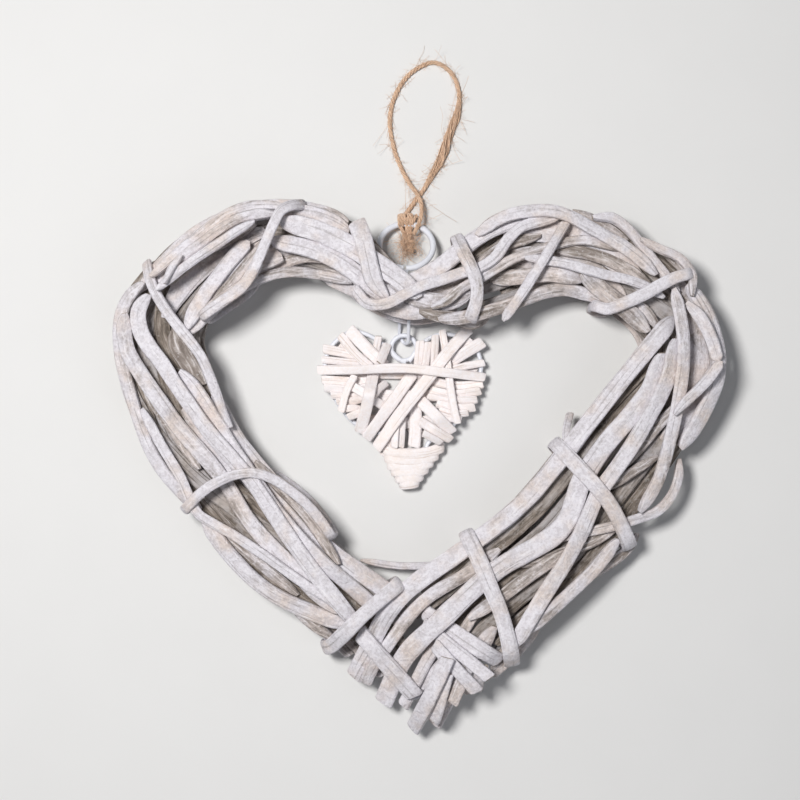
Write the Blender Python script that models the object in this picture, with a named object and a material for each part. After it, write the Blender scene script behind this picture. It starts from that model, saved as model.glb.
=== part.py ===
"""Wicker heart wreath, lying on its back with its front face up.

Two bundles of willow strips, the arms, run from the cleft at the top round the lobes to the tip. They
hold a wire frame whose eye is the hanging ring. A small woven heart hangs in a wire link below the cleft,
and a loop of jute twine is knotted through the ring. Units are metres, +Z is up and the heart's top points
to +Y. A place in an arm is given by two numbers: how far along the arm it lies, from 0 at the cleft to 100
at the tip, and how far across, from -1 at the inner edge of the bundle to 1 at its outer edge.
"""
import math

import bmesh
import bpy
import numpy as np
from mathutils import Matrix, Vector

# Driving sizes of the big heart
HEART_WIDTH = 0.280
STRIP_THICKNESS = 0.0031
RIM_THICKNESS = 0.0042
WIDE_STRIP = 0.0084
BROAD_STRIP = 0.0074
PLAIN_STRIP = 0.0061
SLIM_STRIP = 0.0047
CROWN_HEIGHT = 0.0064
INNER_ROD_WIDTH = 0.0115
INNER_ROD_DEPTH = 0.0118
BACK_ROD_WIDTH = 0.0072
BACK_ROD_THICKNESS = 0.0034
BINDING_WIDTH = 0.0058
BINDING_THICKNESS = 0.0028
CROSS_STRIP_WIDTH = 0.0034
GAP = 0.0004

# Driving sizes of the wire parts
FRAME_WIRE = 0.0025
RING_OUTER_DIAMETER = 0.0277
CLEFT_WIRE_LIFT = 0.0040
CLEFT_RIM_HEIGHT = -0.0020
RING_REST = 0.0042
LINK_WIRE = 0.0017
LINK_LEG_SPACING = 0.0080
LINK_TURN = -19

# Driving sizes of the small heart
CHARM_WIDTH = 0.0783
CHARM_WIRE = 0.0020
CHARM_RING_OUTER_DIAMETER = 0.0138
CHARM_STRIP_WIDTH = 0.0046
CHARM_SLIM_WIDTH = 0.0036
CHARM_WIDE_WIDTH = 0.0060
CHARM_STRIP_THICKNESS = 0.0017
CHARM_LEVEL_SHIFT = 0.00001
CHARM_GROOVE = 0.0005
CHARM_BINDING_THICKNESS = 0.0013
CHARM_WRAP_HEIGHT = 0.0036
CHARM_WRAP_SAG = 0.11
FUSE_DEPTH = 0.0004

# Driving sizes of the twine
TWINE_DIAMETER = 0.0022
KNOT_WIDTH = 0.0076
KNOT_HEIGHT = 0.0060

# Steps and roundness of the faceted solids
STRIP_STEP = 0.0165
ROD_STEP = 0.0290
BACK_ROD_SAMPLE = 2.0
WIRE_STEP = 0.0170
CURVE_STEPS = 24
CHARM_STEP = 0.0120
CHARM_WIRE_STEP = 0.0075
TWINE_STEP = 0.0063
CHARM_WRAP_CORNERS = 10
STRIP_SIDES = 6
FLAT_CORNER = math.sin(2 * math.pi / STRIP_SIDES)
WIRE_SIDES = 6
BINDING_CORNERS = 12
CELL = 0.0005
STRIP_FLAT = 0.5
SPAN_SAMPLES = 17
ACROSS_SAMPLES = 9
LOWEST_REST = -0.0030
SETTLE_ROUNDS = 90
SAG_ROUNDS = 60
SAG_SMOOTHING = 0.22
SAG_DROP = 0.00003
PILE_HALF_SHARE = 0.62
RING_CORNERS = 22
CHARM_RING_CORNERS = 14
LINK_END_TURN = 30

# The inner bundle, along the arm and across it
CROWN_RUN = (6, 14, 86, 99)
CROWN_FADE = (0.3, 1.0, 1.0, 0.1)
CROWN_STEP = 0.12
CROWN_REACH = 0.97
CROWN_SAMPLES = 110
INNER_ROD_RUN = np.arange(13, 88.1, 3)
BACK_ROD_SINKS = (2.0, 1.25, 0.5)
BACK_ROD_ROUTES = [[(13, 0.72), (30, 0.1), (46, -0.72), (62, -0.5), (78, 0.3), (91, 0.7)],
                   [(12, -0.2), (26, -0.74), (42, -0.2), (58, 0.58), (74, 0.72), (90, 0.14)],
                   [(14, 0.2), (28, 0.76), (44, 0.45), (60, -0.1), (76, -0.74), (90, -0.55)]]

# Places in the plane, as shares of the big heart's width from its middle
WIRE_CLEFT = (-0.018, 0.3125)
WIRE_TIP = (-0.003, -0.390)
WIRE_NEAR_CLEFT = (6, 0.30)
WIRE_RUN = range(12, 95, 6)
CLEFT_RIM_ROUTE = [(-0.120, 0.287), (-0.081, 0.261), (-0.044, 0.243), (-0.007, 0.235), (0.030, 0.241),
                   (0.064, 0.251)]
CROSS_STRIP_ROUTE = [(-0.097, -0.164), (-0.025, -0.1735), (0.076, -0.170)]
LINK_PLACE = -0.024
KNOT_PLACE = (-0.018, 0.364)
CHARM_CENTRE = (-0.0296, 0.0863)
# The twine's run with its height over the floor in metres
TWINE_ROUTE = [(-0.0227, 0.3811, 0.0013), (-0.0257, 0.3956, 0.0012), (-0.0197, 0.4169, 0.0011),
               (-0.0099, 0.4317, 0.0011), (-0.0007, 0.4449, 0.0011), (0.0099, 0.4587, 0.0011),
               (0.0230, 0.4828, 0.0011), (0.0395, 0.5120, 0.0011), (0.0510, 0.5482, 0.0011),
               (0.0641, 0.5826, 0.0011), (0.0683, 0.6170, 0.0011), (0.0592, 0.6462, 0.0011),
               (0.0428, 0.6635, 0.0011), (0.0230, 0.6704, 0.0011), (0.0000, 0.6617, 0.0011),
               (-0.0214, 0.6446, 0.0011), (-0.0378, 0.6187, 0.0011), (-0.0469, 0.5895, 0.0011),
               (-0.0477, 0.5585, 0.0011), (-0.0395, 0.5189, 0.0011), (-0.0247, 0.4828, 0.0015),
               (-0.0132, 0.4630, 0.0028), (-0.0007, 0.4449, 0.0038), (0.0049, 0.4235, 0.0058),
               (0.0010, 0.3988, 0.0081), (-0.0082, 0.3805, 0.0066)]
# Strips on the small heart: the level each lies at over the wire, its width and places along it,
# as shares of the small heart's width from its middle
CHARM_FRONT = [
    (0, CHARM_STRIP_WIDTH, [(-0.467, 0.362), (-0.242, 0.318)]),
    (0, CHARM_SLIM_WIDTH, [(-0.453, 0.297), (-0.265, 0.288)]),
    (0, CHARM_STRIP_WIDTH, [(-0.489, 0.189), (-0.200, 0.176)]),
    (0, CHARM_STRIP_WIDTH, [(-0.453, 0.126), (-0.200, 0.134)]),
    (0, CHARM_STRIP_WIDTH, [(-0.318, 0.182), (-0.353, 0.071), (-0.347, -0.018)]),
    (0, CHARM_WIDE_WIDTH, [(0.300, 0.312), (0.486, 0.407)]),
    (0, CHARM_SLIM_WIDTH, [(0.300, 0.253), (0.500, 0.288)]),
    (0, CHARM_SLIM_WIDTH, [(0.318, 0.167), (0.486, 0.137)]),
    (0, CHARM_SLIM_WIDTH, [(0.185, 0.159), (0.441, 0.092)]),
    (0, CHARM_STRIP_WIDTH, [(0.155, 0.092), (0.441, 0.047)]),
    (0, CHARM_SLIM_WIDTH, [(0.178, 0.032), (0.403, -0.013)]),
    (0, CHARM_WIDE_WIDTH, [(0.098, 0.045), (0.082, -0.194)]),
    (1, CHARM_STRIP_WIDTH, [(-0.022, -0.045), (-0.002, -0.194)]),
    (0, CHARM_WIDE_WIDTH, [(0.125, 0.054), (0.298, -0.118)]),
    (0, CHARM_STRIP_WIDTH, [(0.095, -0.072), (0.268, -0.153)]),
    (1, CHARM_SLIM_WIDTH, [(0.246, 0.482), (0.271, 0.385), (0.291, 0.288), (0.298, 0.182), (0.324, 0.047),
                        (0.335, -0.051)]),
    (1, CHARM_WIDE_WIDTH, [(-0.155, 0.262), (-0.206, 0.076), (-0.227, -0.029), (-0.247, -0.129)]),
    (1, CHARM_WIDE_WIDTH, [(-0.355, 0.447), (-0.288, 0.371), (-0.205, 0.250)]),
    (1, CHARM_WIDE_WIDTH, [(-0.288, 0.476), (-0.227, 0.385), (-0.145, 0.302), (-0.076, 0.259)]),
    (1, CHARM_STRIP_WIDTH, [(-0.147, 0.453), (-0.076, 0.294)]),
    (1, CHARM_SLIM_WIDTH, [(0.112, 0.424), (0.112, 0.190)]),
    (1, CHARM_SLIM_WIDTH, [(0.171, 0.418), (0.147, 0.190)]),
    (1, CHARM_WIDE_WIDTH, [(0.085, 0.230), (-0.009, 0.076), (-0.085, -0.006), (-0.201, -0.159)]),
    (2, CHARM_WIDE_WIDTH, [(0.365, 0.482), (0.300, 0.371), (0.229, 0.271), (0.185, 0.197), (0.094, 0.106),
                        (0.012, -0.006), (-0.085, -0.118), (-0.138, -0.194)]),
    (2, CHARM_STRIP_WIDTH, [(-0.503, 0.238), (-0.347, 0.244), (-0.188, 0.247), (0.112, 0.218),
                            (0.294, 0.203), (0.494, 0.206)]),
]
CHARM_BACK = [
    (0, CHARM_WIDE_WIDTH, [(-0.45, 0.25), (0.0, 0.22), (0.46, 0.26)]),
    (0, CHARM_WIDE_WIDTH, [(-0.42, 0.12), (0.0, 0.08), (0.42, 0.10)]),
    (0, CHARM_WIDE_WIDTH, [(-0.27, -0.05), (0.0, -0.08), (0.30, -0.05)]),
    (1, CHARM_WIDE_WIDTH, [(0.30, 0.42), (0.12, 0.15), (-0.08, -0.17)]),
    (1, CHARM_WIDE_WIDTH, [(-0.36, 0.40), (-0.10, 0.10), (0.12, -0.17)]),
]
CHARM_FRAME = [(0.029, 0.282), (-0.094, 0.382), (-0.206, 0.453), (-0.300, 0.465), (-0.382, 0.418),
               (-0.441, 0.335), (-0.453, 0.224), (-0.406, 0.088), (-0.300, -0.059), (-0.206, -0.118),
               (-0.100, -0.147), (-0.018, -0.182), (0.000, -0.241), (0.012, -0.288), (0.024, -0.341),
               (0.047, -0.400), (0.088, -0.341), (0.118, -0.288), (0.147, -0.241), (0.171, -0.188),
               (0.247, -0.147), (0.335, -0.065), (0.424, 0.059), (0.476, 0.212), (0.465, 0.335),
               (0.388, 0.418), (0.276, 0.453), (0.171, 0.429), (0.094, 0.359)]
CHARM_RING_CENTRE = (0.017, 0.371)
# Windings round the tip: middle, height on the heart and half width
CHARM_WRAPS = [(0.076, -0.229, 0.163), (0.053, -0.280, 0.141), (0.050, -0.331, 0.112),
               (0.047, -0.380, 0.082), (0.044, -0.422, 0.055)]

# Centrelines of the arms, as shares of the heart's width from its middle; the first and last knots only
# steer the curve, and the arm runs from the second knot to the last but one
LEFT_KNOTS = [(0.054, 0.231), (-0.018, 0.274), (-0.079, 0.313), (-0.138, 0.353), (-0.212, 0.371),
              (-0.294, 0.354), (-0.377, 0.300), (-0.426, 0.218), (-0.413, 0.127), (-0.365, 0.029),
              (-0.280, -0.075), (-0.187, -0.170), (-0.074, -0.279), (-0.001, -0.350), (0.044, -0.394)]
RIGHT_KNOTS = [(-0.087, 0.238), (-0.018, 0.274), (0.051, 0.294), (0.120, 0.323), (0.199, 0.350),
               (0.285, 0.338), (0.373, 0.280), (0.421, 0.201), (0.416, 0.136), (0.377, 0.073),
               (0.311, -0.012), (0.225, -0.119), (0.141, -0.198), (0.051, -0.289), (-0.003, -0.345),
               (-0.040, -0.382)]
# Half widths of the bundles in metres, each at its place along the arm
LEFT_HALF_WIDTHS = [(-10, 0.0393), (0, 0.0429), (8, 0.0543), (20, 0.0657), (35, 0.0725), (60, 0.0789),
                    (75, 0.0821), (88, 0.0757), (95, 0.0689), (110, 0.0657)]
RIGHT_HALF_WIDTHS = [(-10, 0.0393), (0, 0.0429), (8, 0.0593), (16, 0.0757), (25, 0.0689), (35, 0.0725),
                     (45, 0.0757), (60, 0.0889), (75, 0.0921), (90, 0.0889), (110, 0.0821)]


def curve_through(points):
    """Return a dense row of points on a Catmull-Rom curve through the given points."""
    knots = np.array(points, dtype=float)
    knots = np.vstack([2 * knots[0] - knots[1], knots, 2 * knots[-1] - knots[-2]])
    share = np.linspace(0, 1, CURVE_STEPS, endpoint=False)[:, None]
    rows = []
    for before, start, end, after in zip(knots, knots[1:], knots[2:], knots[3:]):
        rows.append(0.5 * (2 * start + (end - before) * share
                           + (2 * before - 5 * start + 4 * end - after) * share ** 2
                           + (3 * start - before - 3 * end + after) * share ** 3))
    rows.append(knots[-2:-1])
    return np.vstack(rows)


def lengths_along(line):
    """Return the distance from the line's start to each of its points."""
    return np.concatenate([[0.0], np.cumsum(np.linalg.norm(np.diff(line, axis=0), axis=1))])


def even_points(line, step):
    """Return points on the line, evenly spaced by about one step."""
    reach = lengths_along(line)
    count = max(2, round(reach[-1] / step)) + 1
    places = np.linspace(0, reach[-1], count)
    return np.column_stack([np.interp(places, reach, line[:, axis]) for axis in range(line.shape[1])])


def side_directions(points, closed=False):
    """Return the level unit vector to the right of the line at each point."""
    flat = points[:, :2]
    if closed:
        ahead = np.roll(flat, -1, axis=0) - np.roll(flat, 1, axis=0)
    else:
        ahead = np.gradient(flat, axis=0)
    ahead /= np.linalg.norm(ahead, axis=1)[:, None]
    return np.column_stack([ahead[:, 1], -ahead[:, 0]])


class Arm:
    """One bundle of the heart: a curved centreline with a half width at each place along it."""

    def __init__(self, knots, half_widths, outward):
        self.line = curve_through(np.array(knots) * HEART_WIDTH)
        reach = lengths_along(self.line)
        start = reach[CURVE_STEPS]
        end = reach[(len(knots) - 2) * CURVE_STEPS]
        self.share = (reach - start) / (end - start) * 100
        self.half_widths = np.array(half_widths) * (1.0, HEART_WIDTH)
        self.outward = outward

    def half_width(self, along):
        """Return half the width of the bundle at a place along the arm."""
        return np.interp(along, self.half_widths[:, 0], self.half_widths[:, 1])

    def offset_point(self, along, offset):
        """Return the plane point at a place along the arm and a distance outward from its centreline."""
        centre, ahead, behind = (
            np.array([np.interp(place, self.share, self.line[:, 0]),
                      np.interp(place, self.share, self.line[:, 1])])
            for place in (along, along + 0.5, along - 0.5))
        run = ahead - behind
        run /= np.linalg.norm(run)
        return centre + self.outward * np.array([-run[1], run[0]]) * offset

    def point(self, along, across):
        """Return the plane point at a place along the arm and a share of its half width."""
        return self.offset_point(along, across * self.half_width(along))


LEFT_ARM = Arm(LEFT_KNOTS, LEFT_HALF_WIDTHS, -1)
RIGHT_ARM = Arm(RIGHT_KNOTS, RIGHT_HALF_WIDTHS, 1)


def left(*places):
    return [LEFT_ARM.point(along, across) for along, across in places]


def right(*places):
    return [RIGHT_ARM.point(along, across) for along, across in places]


def plane(*places):
    """Return plane points given as shares of the heart's width from its middle."""
    return [np.array(place) * HEART_WIDTH for place in places]


def finish(name, colour, roughness, metallic=0.0):
    """Return a Principled material."""
    material = bpy.data.materials.new(name)
    material.use_nodes = True
    shader = material.node_tree.nodes["Principled BSDF"]
    shader.inputs["Base Color"].default_value = (*colour, 1.0)
    shader.inputs["Roughness"].default_value = roughness
    shader.inputs["Metallic"].default_value = metallic
    return material


def new_object(name, mesh, material):
    """Turn a bmesh into a linked object with smooth round sides and sharp edges."""
    bmesh.ops.recalc_face_normals(mesh, faces=mesh.faces)
    data = bpy.data.meshes.new(name)
    mesh.to_mesh(data)
    mesh.free()
    data.materials.append(material)
    data.shade_smooth()
    data.set_sharp_from_angle(angle=math.radians(40))
    thing = bpy.data.objects.new(name, data)
    bpy.context.scene.collection.objects.link(thing)
    return thing


def section(centre, side, lift, half_width, half_depth):
    """Return the matrix that puts the unit section at a place, across a side and a lift direction."""
    side = Vector(side)
    lift = Vector(lift)
    columns = (side * half_width, lift * half_depth, side.cross(lift), Vector(centre))
    matrix = Matrix.Identity(4)
    for index, column in enumerate(columns):
        matrix.col[index] = (*column, 1.0 if index == 3 else 0.0)
    return matrix


def sweep(name, sections, sides, material, closed=False):
    """Extrude a regular section from place to place, into one closed body."""
    mesh = bmesh.new()
    level = Matrix.Rotation(math.pi / sides, 4, "Z")
    bmesh.ops.create_circle(mesh, segments=sides, radius=1.0, matrix=sections[0] @ level)
    first = mesh.edges[:]
    end = first
    later = sections[1:] + sections[:1] if closed else sections[1:]
    for here, there in zip(sections, later):
        grown = bmesh.ops.extrude_edge_only(mesh, edges=end)["geom"]
        corners = [item for item in grown if isinstance(item, bmesh.types.BMVert)]
        end = [item for item in grown if isinstance(item, bmesh.types.BMEdge)
               and all(corner in corners for corner in item.verts)]
        bmesh.ops.transform(mesh, matrix=there @ here.inverted(), verts=corners)
    if closed:
        bmesh.ops.remove_doubles(mesh, verts=mesh.verts, dist=1e-5)
    else:
        bmesh.ops.edgeloop_fill(mesh, edges=first)
        bmesh.ops.edgeloop_fill(mesh, edges=end)
    return new_object(name, mesh, material)


def strip_sections(points, width, depth):
    """Return upright sections of a flat strip along a row of 3-D points."""
    return [section(point, (*side, 0.0), (0.0, 0.0, 1.0), width / 2, depth / 2 / FLAT_CORNER)
            for point, side in zip(points, side_directions(points))]


def wire(name, points, diameter, sides, material, closed=False):
    """Make a round wire through 3-D points, with its sections square to its run."""
    if closed:
        runs = np.roll(points, -1, axis=0) - np.roll(points, 1, axis=0)
    else:
        runs = np.gradient(points, axis=0)
    sections = []
    side = None
    for point, run in zip(points, runs):
        run = Vector(run).normalized()
        guess = side if side else Vector((0.0, 0.0, 1.0)).cross(run)
        if guess.length < 0.01:
            guess = Vector((1.0, 0.0, 0.0))
        side = (guess - run * guess.dot(run)).normalized()
        sections.append(section(point, side, run.cross(side), diameter / 2, diameter / 2))
    return sweep(name, sections, sides, material, closed)


def union(base, others):
    """Fuse touching bodies into the base one; the others are guides and are left out."""
    guides = bpy.data.collections.new(base.name + "_guides")
    bpy.context.scene.collection.children.link(guides)
    for other in others:
        bpy.context.scene.collection.objects.unlink(other)
        guides.objects.link(other)
        other.hide_render = True
        other.display_type = "WIRE"
    join = base.modifiers.new("Fuse", "BOOLEAN")
    join.operation = "UNION"
    join.operand_type = "COLLECTION"
    join.collection = guides
    join.solver = "EXACT"
    return base


class Pile:
    """What is already laid, as the height of its front and the depth of its back over the plane."""

    def __init__(self, half_size, gap, lowest_rest):
        self.low = np.array([-half_size, -half_size])
        count = int(2 * half_size / CELL) + 2
        self.front = np.full((count, count), lowest_rest)
        self.back = np.full((count, count), lowest_rest)
        self.gap = gap

    def cells(self, points):
        index = np.rint((points - self.low) / CELL).astype(int)
        return np.clip(index, 1, len(self.front) - 2)

    def stamp(self, points, tops, bottoms):
        """Raise the front and the back to cover a solid seen at these plane points."""
        column, row = self.cells(points).T
        np.maximum.at(self.front, (column, row), tops)
        np.maximum.at(self.back, (column, row), -bottoms)

    def look(self, layer, points):
        """Return the highest value of a layer in and beside the cell of each point."""
        column, row = self.cells(points).T
        return np.max([layer[column + right_by, row + up_by]
                       for right_by, up_by in ((0, 0), (1, 0), (-1, 0), (0, 1), (0, -1))], axis=0)


def strip_samples(points, width, along_count, across_count):
    """Return sample points of a strip as rows of spans, places along a span and places across."""
    sides = side_directions(points)
    share = np.linspace(0, 1, along_count)[None, :, None, None]
    across = np.linspace(-1, 1, across_count)
    centre = points[:, None, None, :2]
    reach = sides[:, None, None, :] * across[None, None, :, None] * width / 2
    edges = centre + reach
    samples = edges[:-1] * (1 - share) + edges[1:] * share
    return samples, share[0, :, 0, 0], across


def section_depth(across, depth):
    """Return half the depth of a strip's section at a share of its half width."""
    return depth / 2 * np.minimum(1.0, (1 - np.abs(across)) / (1 - STRIP_FLAT))


def settle(needed, share):
    """Let a stiff strip down onto what is under it and return its height at each station."""
    spans = needed.shape[0]
    heights = np.full(spans + 1, needed.min())
    weight = (1 - share) ** 2 + share ** 2
    for round_number in range(SETTLE_ROUNDS):
        if round_number < SAG_ROUNDS:
            bend = np.zeros_like(heights)
            bend[1:-1] = heights[:-2] - 2 * heights[1:-1] + heights[2:]
            heights = heights + SAG_SMOOTHING * bend - SAG_DROP
        for place, part in enumerate(share):
            span_height = heights[:-1] * (1 - part) + heights[1:] * part
            lack = np.maximum(needed[:, place] - span_height, 0) / weight[place]
            heights[:-1] += lack * (1 - part)
            heights[1:] += lack * part
    return heights


def lay(pile, route, width, depth, step):
    """Return a strip's 3-D stations, resting on the front of the pile, and add it to the pile."""
    points = even_points(curve_through(route), step)
    samples, share, across = strip_samples(points, width, SPAN_SAMPLES, ACROSS_SAMPLES)
    rest = pile.look(pile.front, samples.reshape(-1, 2)).reshape(samples.shape[:3])
    needed = (rest + pile.gap + section_depth(across, depth)[None, None, :]).max(axis=2)
    return stamp_strip(pile, np.column_stack([points, settle(needed, share)]), width, depth)


def stamp_strip(pile, points, width, depth):
    """Add a strip at known 3-D stations to the pile and return the stations."""
    spans = np.diff(points[:, :2], axis=0)
    along_count = int(np.linalg.norm(spans, axis=1).max() / CELL * 1.5) + 2
    across_count = int(width / CELL * 1.5) + 2
    samples, share, across = strip_samples(points, width, along_count, across_count)
    middle = points[:-1, 2:3] * (1 - share) + points[1:, 2:3] * share
    middle = np.repeat(middle[:, :, None], across_count, axis=2).ravel()
    half = np.broadcast_to(section_depth(across, depth), samples.shape[:3]).ravel()
    pile.stamp(samples.reshape(-1, 2), middle + half, middle - half)
    return points


def laid_strip(name, pile, route, width, depth, material):
    """Lay one strip on the pile and make its solid."""
    points = lay(pile, route, width, depth, STRIP_STEP)
    return sweep(name, strip_sections(points, width, depth), STRIP_SIDES, material)


def binding(name, pile, route, width, depth, material):
    """Wrap a strip round the whole bundle: a closed loop in the upright plane along its route."""
    line = even_points(curve_through(route), CELL * 2)
    reach = lengths_along(line)
    sides = side_directions(line)
    obstacles = []
    for across in np.linspace(-0.5, 0.5, ACROSS_SAMPLES):
        places = line + sides * across * width
        for layer, sign in ((pile.front, 1), (pile.back, -1)):
            height = pile.look(layer, places)
            solid = height > LOWEST_REST + 1e-6
            obstacles.append(np.column_stack([reach[solid], sign * height[solid]]))
    obstacles = np.vstack(obstacles)
    angles = np.arange(BINDING_CORNERS) * 2 * math.pi / BINDING_CORNERS
    facing = np.column_stack([np.cos(angles), np.sin(angles)])
    support = (obstacles @ facing.T).max(axis=0) + depth / 2 + pile.gap
    corners = []
    for here in range(BINDING_CORNERS):
        pair = [here, (here + 1) % BINDING_CORNERS]
        corners.append(np.linalg.solve(facing[pair], support[pair]))
    swell = 1 / math.cos(math.pi / BINDING_CORNERS)
    sections = []
    for here, (place, height) in enumerate(corners):
        centre = [np.interp(place, reach, line[:, axis]) for axis in range(2)]
        beyond = place - np.clip(place, 0, reach[-1])
        run = np.array([-sides[0 if beyond < 0 else -1][1], sides[0 if beyond < 0 else -1][0]])
        centre = np.array(centre) + run * beyond
        side = [np.interp(place, reach, sides[:, axis]) for axis in range(2)]
        side = Vector((*side, 0.0)).normalized()
        ahead = Vector((-side.y, side.x, 0.0))
        turn = angles[here] + math.pi / BINDING_CORNERS
        lift = ahead * math.cos(turn) + Vector((0.0, 0.0, math.sin(turn)))
        sections.append(section((*centre, height), side, lift, width / 2, depth / 2 / FLAT_CORNER * swell))
    return sweep(name, sections, STRIP_SIDES, material, closed=True)


def crown(pile):
    """Stamp the rounded top and bottom of the inner bundle, which the outer strips rest on."""
    for arm in (LEFT_ARM, RIGHT_ARM):
        for along in np.arange(CROWN_RUN[0], CROWN_RUN[-1] + 1, CROWN_STEP):
            fade = np.interp(along, CROWN_RUN, CROWN_FADE)
            across = np.linspace(-CROWN_REACH, CROWN_REACH, CROWN_SAMPLES)
            points = np.array([arm.point(along, place) for place in (across[0], across[-1])])
            points = points[0] + (points[1] - points[0]) * np.linspace(0, 1, CROWN_SAMPLES)[:, None]
            height = CROWN_HEIGHT * fade * np.sqrt(1 - across ** 2)
            pile.stamp(points, height, -height)


def inner_and_back_rods(side_name, arm, pile, willow):
    """Fuse the thick inner rods of an arm with the rods that cross its back."""
    offset = (INNER_ROD_WIDTH + FRAME_WIRE) / 2 + 3 * GAP
    bodies = []
    for place in (-offset, offset):
        points = np.array([arm.offset_point(along, place) for along in INNER_ROD_RUN])
        points = even_points(points, WIRE_STEP)
        points = stamp_strip(pile, np.column_stack([points, np.zeros(len(points))]), INNER_ROD_WIDTH,
                             INNER_ROD_DEPTH)
        sections = strip_sections(points, INNER_ROD_WIDTH, INNER_ROD_DEPTH)
        bodies.append(sweep(f"{side_name}_inner_rod", sections, STRIP_SIDES, willow))
    for number, places in enumerate(BACK_ROD_ROUTES):
        route = even_points(curve_through(places), BACK_ROD_SAMPLE)
        points = np.array([arm.point(along, across) for along, across in route])
        depths = CROWN_HEIGHT * np.sqrt(1 - route[:, 1] ** 2)
        drop = BACK_ROD_THICKNESS / 2 - FUSE_DEPTH * BACK_ROD_SINKS[number]
        points = even_points(np.column_stack([points, -depths - drop]), ROD_STEP)
        points = stamp_strip(pile, points, BACK_ROD_WIDTH, BACK_ROD_THICKNESS)
        sections = strip_sections(points, BACK_ROD_WIDTH, BACK_ROD_THICKNESS)
        bodies.append(sweep(f"{side_name}_back_rod", sections, STRIP_SIDES, willow))
    bodies[0].name = f"{side_name}_inner_and_back_rods"
    return union(bodies[0], bodies[1:])


def ring_points(centre, diameter, tilt, count):
    """Return points round a ring that is tipped about the X direction."""
    angles = np.arange(count) * 2 * math.pi / count - math.pi / 2
    up = np.sin(angles) * diameter / 2
    return np.column_stack([centre[0] + np.cos(angles) * diameter / 2,
                            centre[1] + up * math.cos(tilt), centre[2] - up * math.sin(tilt)])


def wire_frame_line():
    """Return the closed run of the frame wire: through the cleft, round the lobes, to the tip."""
    left_side, right_side = (
        [arm.point(*WIRE_NEAR_CLEFT)] + [arm.offset_point(along, 0) for along in WIRE_RUN]
        for arm in (LEFT_ARM, RIGHT_ARM))
    cleft, tip = plane(WIRE_CLEFT, WIRE_TIP)
    route = [cleft] + left_side + [tip] + right_side[::-1]
    lifts = [CLEFT_WIRE_LIFT] * 2 + [0.0] * (len(left_side) + len(right_side))
    lifts[-1] = CLEFT_WIRE_LIFT
    points = np.column_stack([np.array(route), np.array(lifts)])
    looped = curve_through(np.vstack([points[-2:], points, points[:2]]))
    looped = looped[2 * CURVE_STEPS:(2 + len(points)) * CURVE_STEPS]
    return even_points(np.vstack([looped, looped[:1]]), WIRE_STEP)[:-1]


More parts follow.
